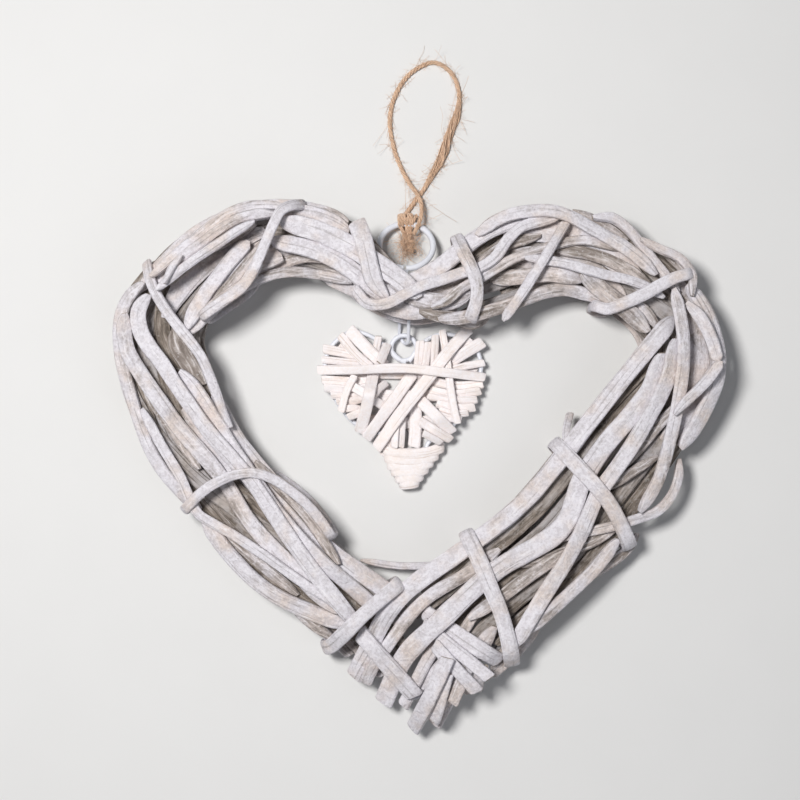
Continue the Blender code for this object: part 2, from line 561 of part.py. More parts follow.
def strips_of_the_big_heart():
    """Return the front strips in the order they are laid: name, route, width and thickness."""
    thin = STRIP_THICKNESS
    rim = RIM_THICKNESS
    return [
        ("left_lobe_inner_rim", left((11, -0.95), (18, -0.98), (24, -0.98), (31, -0.97), (38, -0.82)),
         SLIM_STRIP, rim),
        ("left_lobe_inner_strip", left((19, -0.55), (24, -0.48), (29, -0.6), (34, -0.70), (40, -0.66)),
         WIDE_STRIP, thin),
        ("right_lobe_inner_rim", right((8, -1.1), (12, -1.0), (18, -1.02), (24, -1.08), (28.5, -1.02)),
         SLIM_STRIP, rim),
        ("right_lobe_inner_strip", right((11, -0.3), (15, -0.48), (20, -0.6), (26, -0.62)), BROAD_STRIP,
         thin),
        ("right_shaded_strip", right((25, -0.5), (30, -0.66), (35, -0.64), (39.5, -0.52)), WIDE_STRIP, thin),
        ("tip_right_strip_1", plane((0.008, -0.246), (0.133, -0.3265)), BROAD_STRIP, thin),
        ("tip_right_strip_2", plane((0.008, -0.264), (0.115, -0.3495)), PLAIN_STRIP, thin),
        ("tip_right_strip_3", plane((0.025, -0.297), (0.095, -0.374)), PLAIN_STRIP, thin),
        ("tip_low_strip", plane((0.043, -0.3446), (0.023, -0.4235)), PLAIN_STRIP, thin),
        ("left_lobe_outer_rim", left((11.5, 0.84), (15, 0.83), (20, 0.84), (25, 0.84), (30, 0.79), (34.5,
         0.72), (37.5, 0.78)), PLAIN_STRIP, rim),
        ("left_outer_rim", left((36.5, 0.76), (38, 0.89), (41, 0.93), (45, 0.86), (50, 0.87), (55, 0.95), (59,
         0.93), (64, 0.82)), PLAIN_STRIP, rim),
        ("left_lower_outer_rim", left((65, 0.82), (68, 0.93), (72, 0.98), (76, 0.97), (80, 0.85), (85, 0.55),
         (88.5, 0.3)), BROAD_STRIP, rim),
        ("left_inner_rim", left((52, -0.88), (57, -0.80), (62, -0.74), (67, -0.72), (72, -0.66), (78, -0.58),
         (82.5, -0.66), (88, -0.84), (91, -0.92)), WIDE_STRIP, thin),
        ("left_lower_inner_rim", left((64, -0.78), (68.2, -0.78), (72.5, -0.78), (76, -0.72), (79, -0.64),
         (82, -0.55)), SLIM_STRIP, rim),
        ("left_lobe_crest_strip", left((11, 0.62), (15, 0.66), (20, 0.66), (25, 0.66), (30, 0.56), (36.5,
         0.42)), BROAD_STRIP, thin),
        ("left_lobe_broad_strip", left((22.5, -0.02), (25.3, -0.08), (30.5, -0.27), (35, -0.45), (42.2,
         -0.33)), WIDE_STRIP, thin),
        ("left_shoulder_strip", left((20.5, -0.10), (15, -0.28), (10, -0.32), (5, -0.38), (0, -0.45)),
         WIDE_STRIP, thin),
        ("left_cleft_strip", left((19, 0.35), (15, 0.24), (10, 0.22), (6, 0.3), (2, 0.3), (-1.5, 0.1)),
         WIDE_STRIP, thin),
        ("left_inner_strip", left((47, -0.36), (49.5, -0.52), (53, -0.62), (58, -0.62), (64, -0.54), (70,
         -0.42), (76, -0.34), (81.5, -0.36), (86, -0.40), (90, -0.42)), BROAD_STRIP, thin),
        ("left_second_strip", left((40, 0.84), (42.5, 0.72), (45, 0.53), (50, 0.26), (55, 0.1), (60.2, -0.01))
         + plane((-0.3125, -0.0414), (-0.2817, -0.0921), (-0.2418, -0.1373), (-0.2105, -0.1679), (-0.1711,
         -0.2097), (-0.1299, -0.2459)), BROAD_STRIP, thin),
        ("left_outer_strip", left((50, 0.7), (55, 0.64), (60, 0.68)) + plane((-0.3627, -0.0814), (-0.3125,
         -0.1123), (-0.2516, -0.1521), (-0.2007, -0.1883), (-0.1711, -0.2081), (-0.1431, -0.2262), (-0.1217,
         -0.2459)), SLIM_STRIP, thin),
        ("right_cleft_low_strip", right((2.5, -0.7), (4.5, -0.55), (7, -0.27), (10, -0.2), (15, -0.05), (21.5,
         0.12), (25, 0.33), (28.5, 0.4)), SLIM_STRIP, thin),
        ("right_lobe_white_strip", plane((0.172, 0.334), (0.228, 0.327), (0.2878, 0.310), (0.3566, 0.294),
         (0.400, 0.270)), SLIM_STRIP, thin),
        ("right_lobe_outer_strip", plane((0.285, 0.402), (0.312, 0.404), (0.345, 0.382), (0.374, 0.345),
         (0.402, 0.310), (0.425, 0.28)), SLIM_STRIP, rim),
        ("right_outer_rim", right((37, 0.82), (41, 0.86), (45.5, 0.90), (50, 0.89), (54.5, 0.88)),
         BROAD_STRIP, rim),
        ("right_bowed_strip", plane((0.4293, 0.0058), (0.4240, -0.0411), (0.3930, -0.0800), (0.3528, -0.0942),
         (0.3117, -0.1061), (0.2286, -0.1237), (0.1694, -0.1414)), SLIM_STRIP, thin),
        ("right_lower_outer_rim", right((69, 0.96), (73, 0.98), (77, 0.97), (81, 0.98), (86, 0.95)),
         PLAIN_STRIP, rim),
        ("right_lower_middle_strip", right((74, 0.35), (80, 0.2), (85, 0.12), (90, -0.02)), PLAIN_STRIP,
         thin),
        ("right_inner_rim", right((37, 0.1), (38.5, 0.0), (41.5, -0.38), (45, -0.72), (50, -0.82),
                                  (60, -0.82), (70, -0.86), (80, -0.9), (90, -1.0), (95, -1.08))
         + plane((-0.068, -0.307), (-0.100, -0.356)), WIDE_STRIP, thin),
        ("right_second_strip", right((73, -0.64), (79, -0.58)) + plane((0.0816, -0.1817), (0.023, -0.2163),
         (-0.0148, -0.2508), (-0.0493, -0.2985), (-0.0757, -0.3372), (-0.0885, -0.3660)), PLAIN_STRIP, thin),
        ("right_middle_strip", right((44, -0.4), (50, -0.35), (55, -0.33), (60, -0.35), (66, -0.27)) +
         plane((0.2319, -0.1094), (0.125, -0.1768), (0.0477, -0.2459), (-0.0033, -0.2952), (-0.0313, -0.3331),
         (-0.0592, -0.4005)), WIDE_STRIP, thin),
        ("left_broad_strip", left((37.3, 0.5), (40, 0.52), (42.5, 0.22), (45, -0.03), (49, -0.22), (56.5,
         -0.4), (62, -0.46), (65.8, -0.46), (70, -0.36), (74.8, -0.22), (79.5, -0.10), (84, 0.0), (89.5,
         0.12)), BROAD_STRIP, thin),
        ("right_long_strip", right((42, -0.05), (48, -0.14), (52, -0.08), (57, 0.02), (62, 0.08), (66, 0.1),
         (70, 0.25), (75, 0.43), (80, 0.62), (85, 0.83), (88.5, 0.98)), BROAD_STRIP, thin),
        ("right_upright_strip", right((36.5, 0.5), (40, 0.23), (45, 0.07), (50, 0.27), (55, 0.6), (60, 0.88),
         (64.5, 0.96)), PLAIN_STRIP, thin),
        ("left_cleft_binding", left((10.8, 0.98), (10.2, 0.8), (8, 0.45), (6.2, 0.05), (4.2, -0.3), (2.2,
         -0.5)), WIDE_STRIP, thin),
        ("cleft_cross_strip", plane((-0.0625, 0.264)) + right((2, 0.12), (5, 0.15), (8, 0.12), (10.6, 0.05),
         (12.8, 0.15), (15, 0.38), (17.5, 0.58), (21, 0.7)), SLIM_STRIP, thin),
        ("right_lobe_slanted_strip", plane((0.262, 0.425), (0.2433, 0.3988), (0.2178, 0.357), (0.1924,
         0.3166), (0.164, 0.272), (0.1357, 0.232)), SLIM_STRIP, thin),
        ("right_lobe_crest_strip", right((11.5, 0.87), (14.5, 0.93), (17, 0.91), (20, 0.88), (22.5, 0.76),
         (25, 0.6), (30, 0.5), (34, 0.42)), PLAIN_STRIP, thin),
        ("tip_left_strip", plane((-0.0979, -0.2788), (-0.0530, -0.3310), (-0.0058, -0.3857)), WIDE_STRIP,
         thin),
        ("left_slanted_strip", left((34.7, 1.08), (36.5, 0.45), (38.5, -0.2), (41.5, -0.72), (46, -0.98), (50,
         -1.02), (54.5, -0.94), (58, -0.86)), SLIM_STRIP, thin),
        ("tip_top_strip", plane((0.046, -0.3166), (0.020, -0.3775), (-0.010, -0.443)), BROAD_STRIP, thin),
    ]


def bindings_of_the_big_heart():
    """Return the strips wrapped round the arms: name and route from the outer to the inner edge."""
    return [
        ("left_lobe_binding", left((17.2, 1.3), (18.7, 0.6), (20, 0.2), (21.7, -0.3), (24, -0.75),
                                   (26.4, -1.3))),
        ("left_middle_binding", left((63.7, 1.3), (63.3, 0.6), (63.6, 0.15), (65, -0.4), (67.5, -0.75),
                                     (69.5, -1.3))),
        ("left_lower_binding", left((88.5, 1.3), (88.7, 0.5), (88.8, 0.0), (89.2, -0.5), (90, -1.15))),
        ("right_cleft_binding", right((9.2, 1.3), (9.1, 0.6), (9.1, 0.1), (8.9, -0.3), (8.0, -0.75), (6.6,
         -1.3))),
        ("right_lobe_binding", right((37, 1.3), (36, 0.6), (34.2, 0.0), (32.7, -0.4), (31, -0.9),
                                     (30.2, -1.3))),
        ("right_middle_binding", right((68.8, 1.3), (66.4, 0.5), (65.4, 0.0), (64.8, -0.5), (64, -1.3))),
        ("right_lower_binding", right((90.3, 1.3), (88.3, 0.8), (86.3, 0.3), (84.8, -0.2), (83.5, -0.65),
         (82.3, -1.3))),
    ]


def level_strip(name, pile, route, height, width, depth, material):
    """Make a strip that lies level inside the bundle at a known height."""
    points = even_points(curve_through(route), STRIP_STEP)
    points = stamp_strip(pile, np.column_stack([points, np.full(len(points), height)]), width, depth)
    return sweep(name, strip_sections(points, width, depth), STRIP_SIDES, material)


def build_big_heart(willow):
    """Build the strips and the bindings over the frame wire, and return them with the wire's run."""
    pile = Pile(HEART_WIDTH * PILE_HALF_SHARE, GAP, LOWEST_REST)
    things = [inner_and_back_rods("left", LEFT_ARM, pile, willow),
              inner_and_back_rods("right", RIGHT_ARM, pile, willow)]
    things.append(level_strip("cleft_rim_strip", pile, plane(*CLEFT_RIM_ROUTE), CLEFT_RIM_HEIGHT,
                              SLIM_STRIP, RIM_THICKNESS, willow))
    things.append(level_strip("cross_strip_behind_the_opening", pile, plane(*CROSS_STRIP_ROUTE),
                              CLEFT_RIM_HEIGHT, CROSS_STRIP_WIDTH, STRIP_THICKNESS, willow))
    frame_line = wire_frame_line()
    stamp_strip(pile, np.vstack([frame_line, frame_line[:1]]), FRAME_WIRE, FRAME_WIRE)
    crown(pile)
    for name, route, width, depth in strips_of_the_big_heart():
        things.append(laid_strip(name, pile, route, width, depth, willow))
    for name, route in bindings_of_the_big_heart():
        things.append(binding(name, pile, route, BINDING_WIDTH, BINDING_THICKNESS, willow))
    return things, frame_line


def build_wire_frame(frame_line, floor, wire_paint):
    """Join the frame wire and the ring that is its eye; the ring droops from the cleft to the floor."""
    diameter = RING_OUTER_DIAMETER - FRAME_WIRE
    weld = frame_line[0] + np.array([0.0, FRAME_WIRE * 0.5, 0.0])
    tilt = math.asin((weld[2] - floor - RING_REST) / diameter)
    centre = weld + np.array([0.0, math.cos(tilt), -math.sin(tilt)]) * diameter / 2
    ring = wire("ring", ring_points(centre, diameter, tilt, RING_CORNERS), FRAME_WIRE, WIRE_SIDES,
                wire_paint, True)
    frame = wire("wire_frame", frame_line, FRAME_WIRE, WIRE_SIDES, wire_paint, closed=True)
    return union(frame, [ring])


def charm_plane(places):
    """Return plane points given as shares of the small heart's width from its middle."""
    return [np.array(CHARM_CENTRE) * HEART_WIDTH + np.array(place) * CHARM_WIDTH for place in places]


def charm_weave(name, routes, facing, willow):
    """Fuse the strips on one face of the small heart; facing is 1 in front and -1 at the back."""
    bodies = []
    for number, (level, width, places) in enumerate(routes):
        points = even_points(curve_through(charm_plane(places)), CHARM_STEP)
        height = CHARM_WIRE / 2 + GAP + CHARM_STRIP_THICKNESS / 2 + number * CHARM_LEVEL_SHIFT
        height += level * (CHARM_STRIP_THICKNESS - FUSE_DEPTH)
        points = np.column_stack([points, np.full(len(points), height * facing)])
        sections = strip_sections(points, width, CHARM_STRIP_THICKNESS)
        bodies.append(sweep(f"{name}_{number}", sections, STRIP_SIDES, willow))
    bodies[0].name = name
    return union(bodies[0], bodies[1:])


def charm_binding(willow):
    """Wind the strip round the tip of the small heart: a ridged sleeve, one ridge to a winding."""
    wraps = np.array(CHARM_WRAPS)
    pitch = -np.diff(wraps[:, 1]).mean()
    steps = np.arange(-1, 2 * len(wraps)) / 2
    outer = []
    for step in steps:
        middle, level, half_width = (np.interp(step, range(len(wraps)), column) for column in wraps.T)
        level -= pitch * (step - np.clip(step, 0, len(wraps) - 1))
        groove = CHARM_GROOVE if step % 1 else 0.0
        outer.append((middle, level, half_width * CHARM_WIDTH - groove, CHARM_WRAP_HEIGHT - groove))
    inner = [(middle, level, wide - CHARM_BINDING_THICKNESS, high - CHARM_BINDING_THICKNESS)
             for middle, level, wide, high in outer[::4][::-1]]
    mesh = bmesh.new()
    loops = []
    for corner in range(CHARM_WRAP_CORNERS):
        angle = (corner + 0.5) * 2 * math.pi / CHARM_WRAP_CORNERS
        ring = []
        for middle, level, wide, high in outer + inner:
            centre = charm_plane([(middle, level)])[0]
            sag = CHARM_WRAP_SAG * wide * math.sin(angle) ** 2
            ring.append(mesh.verts.new((centre[0] + math.cos(angle) * wide, centre[1] - sag,
                                        math.sin(angle) * high)))
        loops.append([mesh.edges.new((here, there)) for here, there in zip(ring, ring[1:] + ring[:1])])
    for here, there in zip(loops, loops[1:] + loops[:1]):
        bmesh.ops.bridge_loops(mesh, edges=here + there)
    return new_object("charm_binding", mesh, willow)


def build_charm(willow, wire_paint):
    """Build the small heart with its wire in the plane of height 0."""
    frame_places = charm_plane(CHARM_FRAME)
    looped = curve_through(frame_places[-2:] + frame_places + frame_places[:2])
    looped = looped[2 * CURVE_STEPS:(2 + len(frame_places)) * CURVE_STEPS]
    line = even_points(np.vstack([looped, looped[:1]]), CHARM_WIRE_STEP)[:-1]
    line = np.column_stack([line, np.zeros(len(line))])
    frame = wire("charm_frame", line, CHARM_WIRE, WIRE_SIDES, wire_paint, closed=True)
    diameter = CHARM_RING_OUTER_DIAMETER - CHARM_WIRE
    centre = (*charm_plane([CHARM_RING_CENTRE])[0], 0.0)
    ring = wire("charm_ring", ring_points(centre, diameter, 0.0, CHARM_RING_CORNERS), CHARM_WIRE, WIRE_SIDES,
                wire_paint, True)
    return [union(frame, [ring]),
            charm_weave("charm_weave_front", CHARM_FRONT, 1, willow),
            charm_weave("charm_weave_back", CHARM_BACK, -1, willow),
            charm_binding(willow)]


def build_link(strip_centre, ring_top, wire_paint):
    """Bend a wire into a closed oval that loops round the cleft strip and the small heart's ring."""
    strip_centre = Vector(strip_centre)
    ring_top = Vector(ring_top)
    travel = (ring_top - strip_centre).normalized()
    up = Vector((0.0, 0.0, 1.0))
    across = (up - travel * up.dot(travel)).normalized()
    across = Matrix.Rotation(math.radians(LINK_TURN), 3, travel) @ across
    points = []
    for end, start_angle in ((strip_centre, 180), (ring_top, 0)):
        for step in range(180 // LINK_END_TURN + 1):
            angle = math.radians(start_angle + step * LINK_END_TURN)
            points.append(end + (across * math.cos(angle) + travel * math.sin(angle)) * LINK_LEG_SPACING / 2)
    return wire("wire_link", np.array(points), LINK_WIRE, WIRE_SIDES, wire_paint, closed=True)


def move_all(things, shift):
    """Move the meshes of some objects."""
    for thing in things:
        thing.data.transform(Matrix.Translation(shift))


def extents(things):
    """Return the lowest and the highest corner of the box round some objects."""
    corners = np.array([tuple(vertex.co) for thing in things for vertex in thing.data.vertices])
    return corners.min(axis=0), corners.max(axis=0)


def build_twine(shift, jute):
    """Lay the twine from the knot, under the ring, round its loop, over the ring and back to the knot."""
    route = []
    for across, up, height in TWINE_ROUTE:
        route.append((across * HEART_WIDTH + shift[0], up * HEART_WIDTH + shift[1], height))
    points = even_points(curve_through(route), TWINE_STEP)
    curve = bpy.data.curves.new("twine", "CURVE")
    curve.dimensions = "3D"
    curve.bevel_depth = TWINE_DIAMETER / 2
    curve.bevel_resolution = 2
    curve.use_fill_caps = True
    spline = curve.splines.new("POLY")
    spline.points.add(len(points) - 1)
    for spot, point in zip(spline.points, points):
        spot.co = (*point, 1.0)
    spline.use_smooth = True
    curve.materials.append(jute)
    twine = bpy.data.objects.new("twine", curve)
    bpy.context.scene.collection.objects.link(twine)
    mesh = bmesh.new()
    bmesh.ops.create_icosphere(mesh, subdivisions=2, radius=1.0)
    knot_centre = (KNOT_PLACE[0] * HEART_WIDTH + shift[0], KNOT_PLACE[1] * HEART_WIDTH + shift[1],
                   KNOT_HEIGHT / 2)
    shape = Matrix.Diagonal((KNOT_WIDTH / 2, KNOT_WIDTH / 2, KNOT_HEIGHT / 2, 1.0))
    bmesh.ops.transform(mesh, matrix=Matrix.Translation(knot_centre) @ shape, verts=mesh.verts)
    new_object("twine_knot", mesh, jute)


def main():
    """Build the whole wreath and stand it on its lowest point."""
    for old in list(bpy.data.objects):
        bpy.data.objects.remove(old)
    willow = finish("whitewashed_willow", (0.72, 0.68, 0.66), 0.7)
    charm_willow = finish("cream_willow", (0.80, 0.74, 0.70), 0.7)
    wire_paint = finish("white_wire", (0.66, 0.68, 0.75), 0.45)
    jute = finish("jute", (0.45, 0.24, 0.11), 0.9)
    _, frame_line = build_big_heart(willow)
    floor = extents(bpy.data.objects)[0][2]
    build_wire_frame(frame_line, floor, wire_paint)
    big_things = list(bpy.data.objects)
    build_charm(charm_willow, wire_paint)
    charm_things = [thing for thing in bpy.data.objects if thing not in big_things]
    charm_lift = floor - extents(charm_things)[0][2]
    move_all(charm_things, (0.0, 0.0, charm_lift))
    ring_radius = (CHARM_RING_OUTER_DIAMETER - CHARM_WIRE) / 2
    ring_top = (*(charm_plane([CHARM_RING_CENTRE])[0] + np.array([0.0, ring_radius])), charm_lift)
    rim = even_points(curve_through(plane(*CLEFT_RIM_ROUTE)), STRIP_STEP)
    link_across = LINK_PLACE * HEART_WIDTH
    strip_centre = (link_across, np.interp(link_across, rim[:, 0], rim[:, 1]), CLEFT_RIM_HEIGHT)
    build_link(strip_centre, ring_top, wire_paint)
    low, high = extents(bpy.data.objects)
    shift = (-(low[0] + high[0]) / 2, -(low[1] + high[1]) / 2, -low[2])
    move_all(bpy.data.objects, shift)
    build_twine(shift, jute)


main()
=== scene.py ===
"""Dressed model of a wicker heart wreath that lies on its back on a pale table.

Two bundles of split willow, the arms, are bound over a wire frame whose eye is the hanging ring. A small
woven heart hangs in a wire link below the cleft, and jute twine is knotted through the ring. Everything is
built round the middle of the big heart and then moved to its place in the part's frame. A place in an arm
is given by how far along it lies, 0 at the cleft and 100 at the tip, and how far across, from -1 at the
inner edge of the bundle to 1 at its outer edge.
"""
import logging
import math
from dataclasses import dataclass, field
from enum import Enum
from typing import Callable, Iterable, Optional, Sequence

import bmesh
import bpy
import numpy as np
from mathutils import Matrix, Vector, noise


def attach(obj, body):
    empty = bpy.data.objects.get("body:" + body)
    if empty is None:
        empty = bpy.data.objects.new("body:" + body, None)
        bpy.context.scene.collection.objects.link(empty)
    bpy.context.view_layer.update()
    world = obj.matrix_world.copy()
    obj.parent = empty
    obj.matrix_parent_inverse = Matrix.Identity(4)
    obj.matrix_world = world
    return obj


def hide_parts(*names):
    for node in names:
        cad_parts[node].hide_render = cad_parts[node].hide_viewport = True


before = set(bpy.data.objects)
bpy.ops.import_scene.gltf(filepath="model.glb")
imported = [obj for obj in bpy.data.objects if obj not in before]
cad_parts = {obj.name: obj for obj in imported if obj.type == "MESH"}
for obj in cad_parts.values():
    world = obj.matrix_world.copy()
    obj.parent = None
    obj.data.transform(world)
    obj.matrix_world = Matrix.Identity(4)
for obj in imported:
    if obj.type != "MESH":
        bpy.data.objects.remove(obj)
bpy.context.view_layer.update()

Places = Sequence[tuple[float, float]]
Colour = tuple[float, float, float]
FLOAT = "NodeSocketFloat"
VECTOR = "NodeSocketVector"

HEART_WIDTH = 0.280
HEART_MIDDLE = Vector((0.0003721, -0.0001490, 0.0127256))
FLOOR_CLEARANCE = 0.0001
EDGE_SQUEEZE = 0.06
CURVE_STEPS = 24
CELL = 0.0005
GAP = 0.00012
LOWEST_REST = -0.0030
KNOT_PLACE = (-0.019, 0.364)
SAWN = (0.0, 0.0)
SAWN_END = (0.009, 0.0)
MAP_AROUND = 0.018
CLEFT_RIM_ROUTE = [(-0.120, 0.287), (-0.081, 0.261), (-0.044, 0.243), (-0.007, 0.235), (0.030, 0.241),
                   (0.064, 0.251)]

LEFT_KNOTS = [
    (0.054, 0.231), (-0.018, 0.274), (-0.079, 0.313), (-0.138, 0.353), (-0.212, 0.371), (-0.294, 0.354),
    (-0.377, 0.3), (-0.426, 0.218), (-0.413, 0.127), (-0.365, 0.029), (-0.28, -0.075), (-0.187, -0.17),
    (-0.074, -0.279), (-0.001, -0.35), (0.044, -0.394)]
RIGHT_KNOTS = [
    (-0.087, 0.238), (-0.018, 0.274), (0.051, 0.294), (0.12, 0.323), (0.199, 0.35), (0.285, 0.338),
    (0.373, 0.28), (0.421, 0.201), (0.416, 0.136), (0.377, 0.073), (0.311, -0.012), (0.225, -0.119),
    (0.141, -0.198), (0.051, -0.289), (-0.003, -0.345), (-0.04, -0.382)]
LEFT_HALF_WIDTHS = [
    (-10, 0.011), (0, 0.012), (8, 0.0152), (20, 0.0184), (35, 0.0203), (60, 0.0221), (75, 0.023),
    (88, 0.0212), (95, 0.0193), (110, 0.0184)]
RIGHT_HALF_WIDTHS = [
    (-10, 0.011), (0, 0.012), (8, 0.0166), (16, 0.0212), (25, 0.0193), (35, 0.0203), (45, 0.0212),
    (60, 0.0249), (75, 0.0258), (90, 0.0249), (110, 0.023)]
LEFT_INNER_REACH = [
    (0, 1.0), (24, 1.0), (36, 0.9), (43, 0.98), (50, 0.98), (57, 0.92), (66, 0.78), (73, 0.74), (78, 0.7),
    (82, 0.78), (88, 0.96), (100, 1.0)]
RIGHT_INNER_REACH = [
    (0, 1.08), (10, 1.1), (16, 1.03), (27, 0.96), (33, 0.84), (41, 0.62), (50, 0.82), (60, 0.95), (70, 1.0),
    (100, 1.0)]


def curve_through(points: Iterable[Sequence[float]]) -> np.ndarray:
    """Return a dense row of points on a Catmull-Rom curve.

    Args:
        points: The points that the curve passes through.

    Returns:
        One row for each point of the curve.
    """
    knots = np.array(points, dtype=float)
    knots = np.vstack([2 * knots[0] - knots[1], knots, 2 * knots[-1] - knots[-2]])
    share = np.linspace(0, 1, CURVE_STEPS, endpoint=False)[:, None]
    rows = []
    for before, start, end, after in zip(knots, knots[1:], knots[2:], knots[3:]):
        rows.append(0.5 * (2 * start + (end - before) * share
                           + (2 * before - 5 * start + 4 * end - after) * share ** 2
                           + (3 * start - before - 3 * end + after) * share ** 3))
    rows.append(knots[-2:-1])
    return np.vstack(rows)


def closed_curve(points: Sequence[Sequence[float]], step: float) -> np.ndarray:
    """Return evenly spaced points round a closed smooth curve.

    Args:
        points: The points that the curve passes through.
        step: The spacing in metres.

    Returns:
        One row for each point, the first one not repeated.
    """
    points = np.array(points, dtype=float)
    looped = curve_through(np.vstack([points[-2:], points, points[:2]]))
    looped = looped[2 * CURVE_STEPS:(2 + len(points)) * CURVE_STEPS]
    return even_points(np.vstack([looped, looped[:1]]), step)[:-1]


def lengths_along(line: np.ndarray) -> np.ndarray:
    """Return the distance from the line's start to each of its points."""
    return np.concatenate([[0.0], np.cumsum(np.linalg.norm(np.diff(line, axis=0), axis=1))])


def even_points(line: np.ndarray, step: float) -> np.ndarray:
    """Spread points evenly along a line.

    Args:
        line: The points of the line.
        step: The spacing in metres, which gives a little.

    Returns:
        One row for each point.
    """
    reach = lengths_along(line)
    places = np.linspace(0, reach[-1], max(2, round(reach[-1] / step)) + 1)
    return np.column_stack([np.interp(places, reach, line[:, axis]) for axis in range(line.shape[1])])


def side_directions(points: np.ndarray) -> np.ndarray:
    """Find the level unit vector to the right of a line at each point.

    Args:
        points: Points of the line.

    Returns:
        The X and Y of each vector.
    """
    ahead = np.gradient(points[:, :2], axis=0)
    ahead /= np.maximum(np.linalg.norm(ahead, axis=1), 1e-9)[:, None]
    return np.column_stack([ahead[:, 1], -ahead[:, 0]])


@dataclass
class Arm:
    """One bundle of the heart: a curved centreline with a half width at each place along it."""

    knots: Places
    half_widths: Places
    inner_reach: Places
    outward: int

    def __post_init__(self) -> None:
        """Read the centreline and the share of its length at each of its points."""
        self.line = curve_through(np.array(self.knots) * HEART_WIDTH)
        reach = lengths_along(self.line)
        start, end = reach[CURVE_STEPS], reach[(len(self.knots) - 2) * CURVE_STEPS]
        self.share = (reach - start) / (end - start) * 100
        self.widths = np.array(self.half_widths)
        self.reaches = np.array(self.inner_reach)

    def half_width(self, along: float) -> float:
        """Return half the width of the bundle at a place along it."""
        return float(np.interp(along, self.widths[:, 0], self.widths[:, 1]))

    def offset_point(self, along: float, offset: float) -> np.ndarray:
        """Return the plane point at a distance outward from the centreline.

        Args:
            along: Place along the arm, from 0 to 100.
            offset: Distance in metres.

        Returns:
            The point's X and Y.
        """
        centre, ahead, behind = (
            np.array([np.interp(place, self.share, self.line[:, 0]),
                      np.interp(place, self.share, self.line[:, 1])])
            for place in (along, along + 0.5, along - 0.5))
        run = ahead - behind
        run /= np.linalg.norm(run)
        return centre + self.outward * np.array([-run[1], run[0]]) * offset

    def point(self, along: float, across: float) -> np.ndarray:
        """Return the plane point at a place along the arm and a share across it."""
        return self.offset_point(along, across * (1 - EDGE_SQUEEZE * across ** 2) * self.half_width(along))

    def fitted_point(self, along: float, across: float) -> np.ndarray:
        """Return the plane point at a share across the arm, drawn in where its inner edge is drawn in."""
        reach = np.interp(along, self.reaches[:, 0], self.reaches[:, 1]) if across < 0 else 1.0
        return self.point(along, across * reach)


LEFT_ARM = Arm(LEFT_KNOTS, LEFT_HALF_WIDTHS, LEFT_INNER_REACH, -1)
RIGHT_ARM = Arm(RIGHT_KNOTS, RIGHT_HALF_WIDTHS, RIGHT_INNER_REACH, 1)


def left(*places: tuple[float, float]) -> list[np.ndarray]:
    """Return plane points of places in the left arm."""
    return [LEFT_ARM.point(along, across) for along, across in places]


def right(*places: tuple[float, float]) -> list[np.ndarray]:
    """Return plane points of places in the right arm."""
    return [RIGHT_ARM.point(along, across) for along, across in places]


def plane(*places: tuple[float, float]) -> list[np.ndarray]:
    """Return plane points given as shares of the heart's width from its middle."""
    return [np.array(place) * HEART_WIDTH for place in places]


